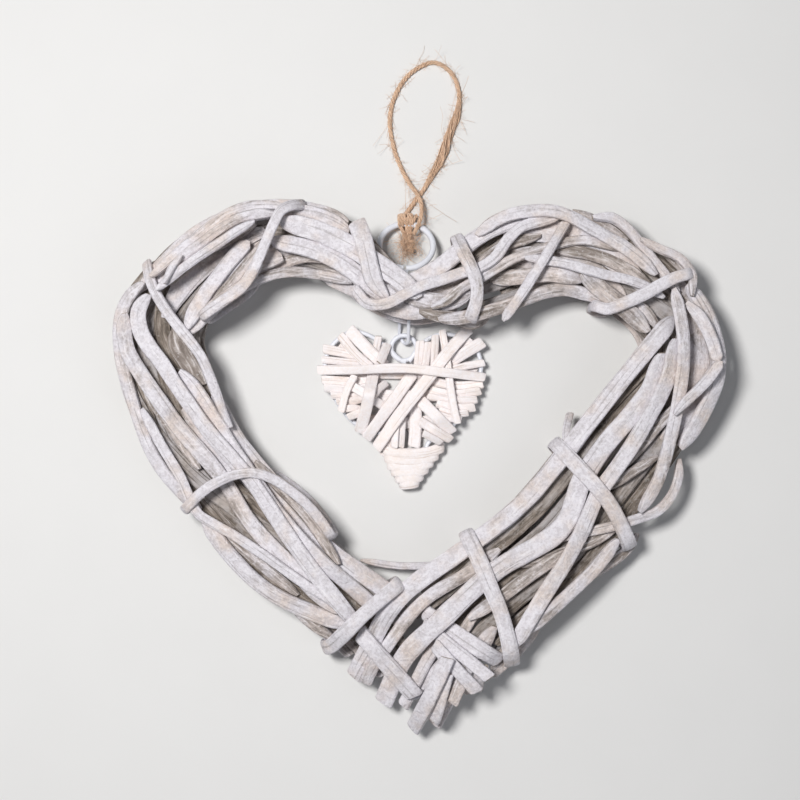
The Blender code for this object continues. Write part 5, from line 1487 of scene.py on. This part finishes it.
    def build(self) -> None:
        """Build the core, the strips of both faces and the bindings."""
        self.level_strips()
        line = self.frame_line()
        self.pile.cover(np.vstack([line, line[:1]]), self.frame_wire, self.frame_wire)
        self.stamp_crown()
        for side, arm in (("left", LEFT_ARM), ("right", RIGHT_ARM)):
            mesh = new_sweep_mesh()
            self.core_rods(mesh, arm, float(len(side)))
            self.back_strips(mesh, arm, float(len(side)))
            roughen(mesh, 0.05, len(side))
            publish(mesh, f"{side}_inner_and_back_willow", Finish.WILLOW, (f"{side}_inner_and_back_rods",))
        for side, routes in self.under_ribbons().items():
            arm = LEFT_ARM if side == "left" else RIGHT_ARM
            meshes = {"under": new_sweep_mesh(), "lobe": new_sweep_mesh()}
            for number, places in enumerate(routes):
                route = [arm.point(*place) for place in even_points(curve_through(places), 3.0)]
                kind, wide = ("under", self.ribbon) if number < 7 else ("lobe", self.lobe_ribbon)
                strip = Strip(route, wide, self.ribbon_thickness, 0.35 + 0.13 * (number * 3 % 5), (0.2, 0.2),
                              (0.02, 0.02))
                lay_strip(meshes[kind], self.pile, strip, number * 1.1, number * 0.83, 20)
            # The under ribbons take the darker SHADED copy as painted shade in the gaps; the lobe ribbons
            # keep the plain willow.
            for kind, finish in (("under", Finish.SHADED), ("lobe", Finish.WILLOW)):
                roughen(meshes[kind], 0.06, 2.0 + len(side))
                publish(meshes[kind], f"{side}_{kind}_ribbons", finish)
        for side, strips in self.hidden_strips().items():
            mesh = new_sweep_mesh()
            for number, strip in enumerate(strips):
                lay_strip(mesh, self.pile, strip, number, number * 0.43)
            roughen(mesh, 0.06, len(side))
            publish(mesh, f"{side}_low_strips", Finish.WILLOW)
        for number, (name, strip) in enumerate(self.front_strips().items()):
            mesh = new_sweep_mesh()
            self.front_strip(mesh, strip, number * 1.7)
            publish(mesh, f"{name}_willow", Finish.WILLOW, (name,))
        for side, strips in self.over_strips().items():
            mesh = new_sweep_mesh()
            for number, strip in enumerate(strips):
                self.front_strip(mesh, strip, 3.1 + number * 1.3)
            publish(mesh, f"{side}_lobe_over_strips", Finish.WILLOW)
        for number, (name, route, tone, width) in enumerate(self.bindings()):
            mesh = new_sweep_mesh()
            points, across = wrap(self.pile, route, width, self.binding_thickness)
            band = Section(width, self.binding_thickness, 18, 0.8, 0.05, 0.04)
            sweep(mesh, band, loop_matrices(points, across, band, number), True, number * 0.61, tone)
            roughen(mesh, band.ripple, number)
            publish(mesh, f"{name}_willow", Finish.WILLOW, (name,), length=0.08)


@dataclass
class WireFrame:
    """The frame wire inside the arms with the hanging ring that is its eye."""

    wire: float = 0.0028
    ring_outer_diameter: float = 0.0279
    ring_rest: float = 0.0042
    ring_shift: tuple[float, float] = (-0.0008, 0.0008)

    def build(self, line: np.ndarray) -> None:
        """Sweep the frame and the ring, which droops from the cleft to the floor.

        Args:
            line: The closed run of the frame wire.
        """
        mesh = new_sweep_mesh()
        cut = Section(self.wire, self.wire, 12, 1.0)
        sweep(mesh, cut, moved_frames(line, cut, True))
        diameter = self.ring_outer_diameter - self.wire
        weld = line[0] + np.array([0.0, self.wire * 0.5, 0.0])
        tilt = math.asin((weld[2] + HEART_MIDDLE.z - self.ring_rest) / diameter)
        angles = np.arange(60) * 2 * math.pi / 60 - math.pi / 2
        up = np.sin(angles) * diameter / 2
        fall = np.array([0.0, math.cos(tilt), -math.sin(tilt)])
        middle = weld + fall * diameter / 2 + (*self.ring_shift, 0.0)
        ring = middle + np.column_stack([np.cos(angles) * diameter / 2, up * math.cos(tilt),
                                         -up * math.sin(tilt)])
        round_wire = Section(self.wire, self.wire, 20, 1.0)
        sweep(mesh, round_wire, moved_frames(ring, round_wire, True, 0.10, 2.0))
        publish(mesh, "wire_frame_and_ring", Finish.WIRE, ("wire_frame",))


@dataclass
class SmallHeart:
    """The small woven heart: its wire, its strips and the strip wound round its tip."""

    width: float = 0.0783
    centre: tuple[float, float] = (-0.0296, 0.0863)
    wire: float = 0.0021
    ring_outer_diameter: float = 0.0138
    ring_centre: tuple[float, float] = (0.017, 0.371)
    thickness: float = 0.0015
    plain: float = 0.0044
    slim: float = 0.0036
    wide: float = 0.0058
    wrap_thickness: float = 0.0014
    wrap_width: float = 0.0048
    wrap_height: float = 0.0033
    plane_height: float = 0.0046236 - HEART_MIDDLE.z
    pile: Pile = field(default_factory=lambda: Pile(0.080, -0.001))

    def places(self, shares: Places) -> list[np.ndarray]:
        """Return plane points given as shares of the small heart's width from its middle."""
        return [np.array(self.centre) * HEART_WIDTH + np.array(share) * self.width for share in shares]

    def frame(self) -> None:
        """Bend the wire round the outline and add the ring at its cleft."""
        outline = [
            (0.029, 0.282), (-0.094, 0.382), (-0.206, 0.453), (-0.3, 0.465), (-0.382, 0.418),
            (-0.441, 0.335), (-0.453, 0.224), (-0.406, 0.088), (-0.3, -0.059), (-0.206, -0.118),
            (-0.1, -0.147), (-0.018, -0.182), (0.0, -0.241), (0.012, -0.288), (0.024, -0.341),
            (0.047, -0.4), (0.088, -0.341), (0.118, -0.288), (0.147, -0.241), (0.171, -0.188),
            (0.247, -0.147), (0.335, -0.065), (0.424, 0.059), (0.476, 0.212), (0.465, 0.335),
            (0.388, 0.418), (0.276, 0.453), (0.171, 0.429), (0.094, 0.359)]
        line = closed_curve([(*place, 0.0) for place in self.places(outline)], 0.0018)
        self.pile.cover(np.vstack([line, line[:1]]), self.wire, self.wire)
        cut = Section(self.wire, self.wire, 14, 1.0)
        mesh = new_sweep_mesh()
        sweep(mesh, cut, moved_frames(line, cut, True, 0.08, 1.0))
        radius = (self.ring_outer_diameter - self.wire) / 2
        angles = np.arange(44) * 2 * math.pi / 44
        middle = self.places([self.ring_centre])[0]
        ring = np.column_stack([middle[0] + np.cos(angles) * radius, middle[1] + np.sin(angles) * radius,
                                np.zeros(44)])
        sweep(mesh, cut, moved_frames(ring, cut, True, 0.10, 5.0))
        bmesh.ops.translate(mesh, vec=(0.0, 0.0, self.plane_height), verts=mesh.verts)
        publish(mesh, "charm_wire_and_ring", Finish.WIRE, ("charm_frame",))

    def weave(self, name: str, rows: Sequence[tuple[float, Places]], facing: int) -> None:
        """Lay the strips of one face.

        Args:
            name: The CAD node that they replace.
            rows: Width and places of each strip in the order they are laid.
            facing: 1 for the front and -1 for the back.
        """
        mesh = new_sweep_mesh()
        for number, (width, places) in enumerate(rows):
            strip = Strip(self.places(places), width, self.thickness, 0.62 + 0.08 * (number * 3 % 5),
                          (0.15, -0.15), SAWN)
            lay_strip(mesh, self.pile, strip, number * 2.3, number * 0.39, 16, 0.0014, facing, 0.005)
        roughen(mesh, 0.05, float(facing))
        bmesh.ops.translate(mesh, vec=(0.0, 0.0, self.plane_height), verts=mesh.verts)
        publish(mesh, f"{name}_willow", Finish.CREAM, (name,))

    def winding(self) -> None:
        """Wind the strip round the tip, one turn under the other."""
        wraps = np.array([(0.073, -0.229, 0.188), (0.063, -0.274, 0.165), (0.056, -0.317, 0.142),
                          (0.053, -0.358, 0.115), (0.050, -0.397, 0.088), (0.050, -0.434, 0.062)])
        mesh = new_sweep_mesh()
        for number, (middle, level, half_width) in enumerate(wraps):
            centre = self.places([(middle, level)])[0]
            rows = []
            for step in range(40):
                angle = step * 2 * math.pi / 40
                wide = half_width * self.width - self.wrap_thickness / 2
                high = self.wrap_height - self.wrap_thickness / 2
                across = math.copysign(abs(math.cos(angle)) ** 0.75, math.cos(angle))
                rise = math.copysign(abs(math.sin(angle)) ** 0.75, math.sin(angle))
                sag = 0.17 * wide * math.sin(angle) ** 2 - 0.0006 * math.cos(angle)
                rows.append((centre[0] + across * wide, centre[1] - sag, rise * high))
            points = np.array(rows)
            band = Section(self.wrap_width, self.wrap_thickness, 14, 0.8, 0.05, 0.03)
            across = np.tile(np.array([0.0, 1.0]), (len(points), 1))
            sweep(mesh, band, loop_matrices(points, across, band, number * 1.3), True, number * 0.5,
                  0.72 + 0.06 * (number % 4))
        roughen(mesh, 0.06, 3.0)
        bmesh.ops.translate(mesh, vec=(0.0, 0.0, self.plane_height), verts=mesh.verts)
        publish(mesh, "charm_winding", Finish.CREAM, ("charm_binding",), length=0.025)

    def build(self) -> None:
        """Build the frame, both faces and the winding."""
        plain, slim, wide = self.plain, self.slim, self.wide
        self.frame()
        self.weave("charm_weave_front", [
            (plain, [(-0.467, 0.367), (-0.304, 0.333), (-0.202, 0.299)]),
            (slim, [(-0.474, 0.301), (-0.209, 0.274)]),
            (plain, [(-0.474, 0.179), (-0.263, 0.168), (-0.141, 0.174)]),
            (plain, [(-0.46, 0.133), (-0.291, 0.122), (-0.155, 0.143)]),
            (slim, [(-0.42, 0.088), (-0.263, 0.081), (-0.128, 0.102)]),
            (slim, [(-0.386, 0.05), (-0.277, 0.055), (-0.196, 0.081)]),
            (slim, [(-0.345, 0.005), (-0.277, 0.012), (-0.209, -0.014)]),
            (slim, [(-0.318, -0.045), (-0.243, -0.014), (-0.182, 0.007)]),
            (plain, [(-0.32, 0.16), (-0.21, 0.09), (-0.08, 0.005)]),
            (slim, [(-0.277, 0.204), (-0.325, 0.109), (-0.358, -0.012)]),
            (slim, [(-0.087, 0.163), (-0.128, 0.129), (-0.168, 0.081)]),
            (plain, [(0.416, 0.428), (0.307, 0.339), (0.226, 0.272)]),
            (wide, [(0.49, 0.407), (0.348, 0.319), (0.28, 0.272)]),
            (slim, [(0.5, 0.282), (0.402, 0.265), (0.307, 0.242)]),
            (plain, [(0.49, 0.156), (0.334, 0.143), (0.185, 0.174)]),
            (plain, [(0.477, 0.115), (0.307, 0.092), (0.171, 0.122)]),
            (slim, [(0.456, 0.061), (0.307, 0.061), (0.158, 0.081)]),
            (plain, [(0.443, 0.016), (0.334, 0.011), (0.212, 0.038)]),
            (slim, [(0.402, -0.018), (0.307, -0.02), (0.226, 0.003)]),
            (slim, [(0.362, -0.058), (0.28, -0.048), (0.212, -0.021)]),
            (plain, [(-0.046, -0.11), (-0.08, -0.2), (-0.106, -0.275)]),
            (wide, [(0.083, 0.041), (0.09, -0.082), (0.079, -0.225)]),
            (slim, [(0.008, -0.068), (-0.005, -0.225)]),
            (slim, [(-0.03, -0.088), (-0.039, -0.225)]),
            (wide, [(0.117, 0.054), (0.205, -0.034), (0.307, -0.136)]),
            (plain, [(0.117, -0.068), (0.212, -0.129), (0.3, -0.179)]),
            (slim, [(0.13, -0.136), (0.239, -0.197)]),
            (slim, [(0.246, 0.478), (0.266, 0.353), (0.28, 0.258), (0.296, 0.122), (0.314, 0.014), (0.337,
                -0.082)]),
            (wide, [(-0.166, 0.22), (-0.202, 0.027), (-0.247, -0.136)]),
            (slim, [(-0.134, 0.441), (-0.155, 0.326)]),
            (plain, [(-0.365, 0.448), (-0.263, 0.326), (-0.182, 0.258)]),
            (wide, [(-0.311, 0.482), (-0.209, 0.373), (-0.1, 0.265)]),
            (plain, [(-0.08, 0.394), (-0.128, 0.278)]),
            (plain, [(0.117, 0.414), (0.103, 0.255)]),
            (slim, [(0.164, 0.407), (0.144, 0.255)]),
            (slim, [(0.205, 0.448), (0.198, 0.255)]),
            (wide, [(0.07, 0.215), (-0.046, 0.054), (-0.209, -0.172)]),
            (wide, [(0.402, 0.482), (0.266, 0.326), (0.158, 0.183), (0.008, -0.007), (-0.148, -0.231)]),
            (plain, [(-0.5, 0.238), (-0.263, 0.24), (0.008, 0.248), (0.28, 0.22), (0.503, 0.193)]),
        ], 1)
        self.weave("charm_weave_back", [
            (wide, [(-0.45, 0.25), (0.0, 0.22), (0.46, 0.26)]),
            (wide, [(-0.42, 0.12), (0.0, 0.08), (0.42, 0.1)]),
            (wide, [(-0.27, -0.05), (0.0, -0.08), (0.3, -0.05)]),
            (wide, [(0.3, 0.42), (0.12, 0.15), (-0.08, -0.17)]),
            (wide, [(-0.36, 0.4), (-0.1, 0.1), (0.12, -0.17)]),
        ], -1)
        self.winding()

    def ring_top(self) -> Vector:
        """Return the middle of the small ring's wire at its top."""
        middle = self.places([self.ring_centre])[0]
        return Vector((middle[0], middle[1] + (self.ring_outer_diameter - self.wire) / 2, self.plane_height))


@dataclass
class WireLink:
    """The wire oval that holds the small heart on the cleft strip."""

    wire: float = 0.0017
    leg_spacing: float = 0.0080
    turn: float = -32.0
    place: float = -0.024

    def build(self, strip_centre: Vector, ring_top: Vector) -> None:
        """Bend the oval round the strip and the small ring.

        Args:
            strip_centre: Middle of the cleft strip where the link hangs.
            ring_top: Middle of the small ring's wire.
        """
        travel = (ring_top - strip_centre).normalized()
        across = Vector((0.0, 0.0, 1.0))
        across = (across - travel * across.dot(travel)).normalized()
        across = Matrix.Rotation(math.radians(self.turn), 3, travel) @ across
        rows = []
        for end, start in ((strip_centre, 180), (ring_top, 0)):
            for angle in (math.radians(start + step * 30) for step in range(7)):
                out = across * math.cos(angle) + travel * math.sin(angle)
                rows.append(end + out * self.leg_spacing / 2)
        mesh = new_sweep_mesh()
        cut = Section(self.wire, self.wire, 12, 1.0)
        sweep(mesh, cut, moved_frames(closed_curve(rows, 0.001), cut, True, 0.08, 4.0))
        publish(mesh, "painted_link", Finish.WIRE, ("wire_link",))


@dataclass
class Twine:
    """The jute twine: three plies laid along one run, its loose fibres and its knot on the ring."""

    diameter: float = 0.0022
    ply: float = 0.00106
    pitch: float = 0.0062
    fibre: float = 0.00011
    strand: float = 0.00055
    strands: int = 16
    knot_height: float = 0.0033
    knot_sizes: tuple[float, float] = (0.00083, 0.0011)
    knot_ply: float = 0.00105
    turn_ply: float = 0.00095
    turn_radius: float = 0.0023
    turn_angles: tuple[int, ...] = (107, 101, 95, 88, 82, 76)
    ring_radius: float = 0.01255
    ring_level: float = 0.3603
    ring_height: float = 0.0044
    fuzz_height: float = 0.0045
    fuzz_spread: tuple[float, float, float] = (0.0022, 0.0035, 0.0007)
    spacing: float = 0.0006
    frayed: tuple[float, float] = (0.14, 0.37)
    fray_swell: float = 0.0013
    route: Sequence[tuple[float, float, float]] = (
        (-0.0227, 0.3811, 0.0013), (-0.0257, 0.3956, 0.0012), (-0.0197, 0.4169, 0.0011),
        (-0.0099, 0.4317, 0.0011), (-0.0007, 0.4449, 0.0011), (0.0099, 0.4587, 0.0011),
        (0.023, 0.4828, 0.0011), (0.0395, 0.512, 0.0011), (0.051, 0.5482, 0.0011), (0.0641, 0.5826, 0.0011),
        (0.0683, 0.617, 0.0011), (0.0592, 0.6462, 0.0011), (0.0428, 0.6635, 0.0011),
        (0.023, 0.6704, 0.0011), (0.0, 0.6617, 0.0011), (-0.0214, 0.6446, 0.0011),
        (-0.0378, 0.6187, 0.0011), (-0.0469, 0.5895, 0.0011), (-0.0477, 0.5585, 0.0011),
        (-0.0395, 0.5189, 0.0011), (-0.0247, 0.4828, 0.0015), (-0.0132, 0.463, 0.0028),
        (-0.0007, 0.4449, 0.0038), (0.0049, 0.4235, 0.0058), (0.001, 0.3988, 0.0081),
        (-0.0082, 0.3805, 0.0066))

    def line(self) -> np.ndarray:
        """Return the twine's run in metres from the middle of the big heart."""
        rows = [(x * HEART_WIDTH, y * HEART_WIDTH, z - HEART_MIDDLE.z) for x, y, z in self.route]
        return even_points(curve_through(rows), self.spacing)

    def plies(self, mesh: bmesh.types.BMesh, line: np.ndarray, seed: float, ply: float = 0.0) -> None:
        """Twist three plies along a run.

        Args:
            mesh: The mesh that they go into.
            line: The run.
            seed: Number that shifts their unevenness.
            ply: Thickness of a ply, where it isn't the usual one.
        """
        ply = ply or self.ply
        middle = Section(1.0, 1.0)
        frames = moved_frames(line, middle)
        reach = lengths_along(line)
        for number in range(3):
            rows = []
            for matrix, place in zip(frames, reach):
                angle = place / self.pitch * 2 * math.pi + number * 2 * math.pi / 3
                away = matrix.to_3x3() @ Vector((math.cos(angle), math.sin(angle), 0.0))
                rows.append(matrix.translation + away.normalized() * ply * 0.55)
            cut = Section(ply, ply, 8, 1.0)
            sweep(mesh, cut, moved_frames(np.array(rows), cut, False, 0.22, seed + number),
                  start_run=seed + number * 0.3)

    def fibres(self, line: np.ndarray, count: int, knot_count: int) -> None:
        """Add the loose fibres that stand off the twine and its knot.

        Args:
            line: The twine's run.
            count: Number of fibres along it.
            knot_count: Number of fibres round its knot.
        """
        draw = np.random.default_rng(7)
        mesh = new_sweep_mesh()
        runs = np.gradient(line, axis=0)
        frayed = self.frayed_places(line)
        for number in range(count + knot_count):
            if number < count:
                place = int(draw.choice(frayed)) if number % 3 == 0 else int(draw.integers(2, len(line) - 2))
                spot, run = Vector(line[place]), Vector(runs[place])
            else:
                spot = Vector((*(np.array(KNOT_PLACE) * HEART_WIDTH), self.fuzz_height - HEART_MIDDLE.z))
                spot += Vector(draw.normal(size=3) * self.fuzz_spread)
                run = Vector(draw.normal(size=3))
            travel = run.normalized() * (1 if draw.random() < 0.5 else -1)
            away = Vector(draw.normal(size=3))
            away = (away - travel * away.dot(travel)).normalized()
            length = float(draw.uniform(0.0012, 0.0042)) * (2.6 if draw.random() < 0.10 else 1.0)
            start = spot + away * self.diameter * 0.30
            curl, twist = (Vector(draw.normal(size=3)) * 0.5 for _ in range(2))
            rows = [start + (travel * share + away * (0.42 * share + 0.15 * share ** 2) + curl * share ** 2
                             + twist * math.sin(share * 5) * 0.18) * length
                    for share in (0.0, 0.25, 0.5, 0.75, 1.0)]
            points = even_points(curve_through(rows), length / 9)
            points[:, 2] = np.maximum(points[:, 2], self.fibre - HEART_MIDDLE.z)
            cut = Section(self.fibre, self.fibre, 3, 1.0)
            sweep(mesh, cut, moved_frames(points, cut))
        self.frayed_strands(mesh, line)
        publish(mesh, "twine_fibres", Finish.JUTE)

    def frayed_places(self, line: np.ndarray) -> np.ndarray:
        """Return the numbers of the points where the twine is frayed and thicker."""
        share = lengths_along(line) / lengths_along(line)[-1]
        return np.flatnonzero((share > self.frayed[0]) & (share < self.frayed[1]))

    def frayed_strands(self, mesh: bmesh.types.BMesh, line: np.ndarray) -> None:
        """Lay loose strands round the twine where it is frayed.

        Args:
            mesh: The mesh that they go into.
            line: The twine's run.
        """
        places = self.frayed_places(line)
        run = line[places]
        share = np.linspace(0.0, 1.0, len(run))
        swell = np.sin(share * math.pi) ** 0.7 * self.fray_swell
        cut = Section(self.strand, self.strand, 6, 1.0)
        frames = moved_frames(run, Section(1.0, 1.0))
        for number in range(self.strands):
            rows = []
            for matrix, part, bulge in zip(frames, share, swell):
                angle = number * 2.4 + part * (5.0 + number % 3) + 0.5 * math.sin(part * 9 + number)
                out = matrix.to_3x3() @ Vector((math.cos(angle), math.sin(angle), 0.0))
                away = self.diameter * 0.36 + bulge * (0.4 + number % 4 * 0.2)
                spot = matrix.translation + out.normalized() * away
                spot.z = max(spot.z, self.strand * 0.6 - HEART_MIDDLE.z)
                rows.append(spot)
            points = even_points(np.array(rows), 0.0009)
            sweep(mesh, cut, moved_frames(points, cut, False, 0.25, float(number)), start_run=number * 0.3)

    def knot(self) -> bpy.types.Object:
        """Tie the knot: turns round the ring's top, the ball and its short tail.

        Returns:
            The knot.
        """
        ring_centre = np.array([KNOT_PLACE[0], self.ring_level]) * HEART_WIDTH
        mesh = new_sweep_mesh()
        knot_centre = Vector((*(np.array(KNOT_PLACE) * HEART_WIDTH), self.knot_height - HEART_MIDDLE.z))
        flat, tall = self.knot_sizes
        rows = []
        for step in range(48):
            angle = step * 2 * math.pi / 48
            rows.append(knot_centre + Vector(((math.sin(angle) + 2 * math.sin(2 * angle)) * flat,
                                              (math.cos(angle) - 2 * math.cos(2 * angle)) * flat,
                                              -math.sin(3 * angle) * tall)))
        ball = closed_curve(rows, self.spacing)
        self.plies(mesh, np.vstack([ball, ball[:2]]), 2.0, self.knot_ply)
        tail = [knot_centre + Vector(offset) for offset in ((0.0004, 0.0, 0.0004), (0.0014, -0.0018, 0.0009),
                                                            (0.0026, -0.0036, 0.0))]
        self.plies(mesh, even_points(curve_through(tail), self.spacing), 3.0, self.knot_ply)
        for turn, angle in enumerate(self.turn_angles):
            spot = Vector((ring_centre[0] + math.cos(math.radians(angle)) * self.ring_radius,
                           ring_centre[1] + math.sin(math.radians(angle)) * self.ring_radius,
                           self.ring_height - HEART_MIDDLE.z))
            lean = math.radians(angle + (turn * 2 % 5 - 2) * 7)
            out = Vector((math.cos(lean), math.sin(lean), 0.0))
            rows = [spot + out * math.cos(step * math.pi / 8) * self.turn_radius
                    + Vector((0.0, 0.0, math.sin(step * math.pi / 8) * self.turn_radius))
                    for step in range(16)]
            loop = closed_curve(rows, self.spacing)
            self.plies(mesh, np.vstack([loop, loop[:2]]), 5.0 + turn, self.turn_ply)
            if turn % 2 == 0:
                inner = spot - out * 0.0021
                strand = [inner, inner.lerp(knot_centre, 0.5) + Vector((0.0004, 0.0, 0.0009)), knot_centre]
                self.plies(mesh, even_points(curve_through(strand), self.spacing), 12.0 + turn,
                           self.turn_ply)
        return publish(mesh, "jute_knot", Finish.JUTE, ("twine_knot",))

    def build(self) -> None:
        line = self.line()
        mesh = new_sweep_mesh()
        self.plies(mesh, line, 1.0)
        twine = publish(mesh, "jute_twine", Finish.JUTE, ("twine",))
        knot = self.knot()
        self.fibres(line, 760, 520)
        path = [tuple(Vector(point) + HEART_MIDDLE) for point in line[::4]]
        path.append(tuple(Vector(line[-1]) + HEART_MIDDLE))


@dataclass
class Studio:
    """The camera, the table and the lights."""

    framing: float = 0.3706
    aim: tuple[float, float] = (-0.008375, 0.028627)
    height: float = 0.916
    subject_height: float = 0.016

    def camera(self) -> None:
        """Set the camera straight over the wreath."""
        data = bpy.data.cameras.new("camera")
        data.sensor_width = 36.0
        data.lens = 36.0 * (self.height - self.subject_height) / self.framing
        data.clip_start = 0.01
        data.dof.use_dof = False
        camera = bpy.data.objects.new("camera", data)
        camera.location = (*self.aim, self.height)
        bpy.context.scene.collection.objects.link(camera)
        bpy.context.scene.camera = camera

    def light(self, name: str, place: tuple[float, float, float], size: float, power: float,
              colour: Colour) -> None:
        """Add a soft light that looks at the wreath.

        Args:
            name: Its name.
            place: Its place.
            size: Its diameter.
            power: Its power.
            colour: Its colour.
        """
        data = bpy.data.lights.new(name, "AREA")
        data.shape = "DISK"
        data.size = size
        data.energy = power
        data.color = colour
        lamp = bpy.data.objects.new(name, data)
        lamp.location = place
        lamp.rotation_euler = (Vector((0.0, 0.0, 0.0)) - Vector(place)).to_track_quat("-Z", "Y").to_euler()
        bpy.context.scene.collection.objects.link(lamp)

    def build(self) -> None:
        """Build the table, the lights and the pale surroundings."""
        self.camera()
        mesh = bmesh.new()
        bmesh.ops.create_grid(mesh, x_segments=1, y_segments=1, size=2.0)
        data = bpy.data.meshes.new("table")
        mesh.to_mesh(data)
        mesh.free()
        data.materials.append(Finish.TABLE.get())
        table = bpy.data.objects.new("table", data)
        bpy.context.scene.collection.objects.link(table)
        self.light("key_light", (-0.31, 0.22, 1.03), 0.24, 11.0, (1.0, 0.985, 0.96))
        self.light("fill_light", (0.7, -0.6, 0.9), 1.1, 1.7, (0.93, 0.96, 1.0))
        world = bpy.data.worlds.new("pale_room")
        world.use_nodes = True
        world.node_tree.nodes["Background"].inputs["Color"].default_value = (0.86, 0.88, 0.93, 1.0)
        world.node_tree.nodes["Background"].inputs["Strength"].default_value = 0.17
        bpy.context.scene.world = world
        bpy.context.scene.view_settings.view_transform = "Standard"


def main() -> None:
    """Build the wreath, the table and the lights."""
    logging.basicConfig(level=logging.INFO, format="%(message)s")
    studio, twine, heart, wire, charm, link = (Studio(), Twine(), BigHeart(), WireFrame(), SmallHeart(),
                                               WireLink())
    studio.build()
    logging.info("twine")
    twine.build()
    logging.info("small heart")
    charm.build()
    rim = even_points(curve_through(plane(*CLEFT_RIM_ROUTE)), 0.0165)
    across = link.place * HEART_WIDTH
    link.build(Vector((across, float(np.interp(across, rim[:, 0], rim[:, 1])), heart.cleft_rim_height)),
               charm.ring_top())
    wire.build(heart.frame_line())
    logging.info("big heart")
    heart.build()


if __name__ == "__main__":
    main()
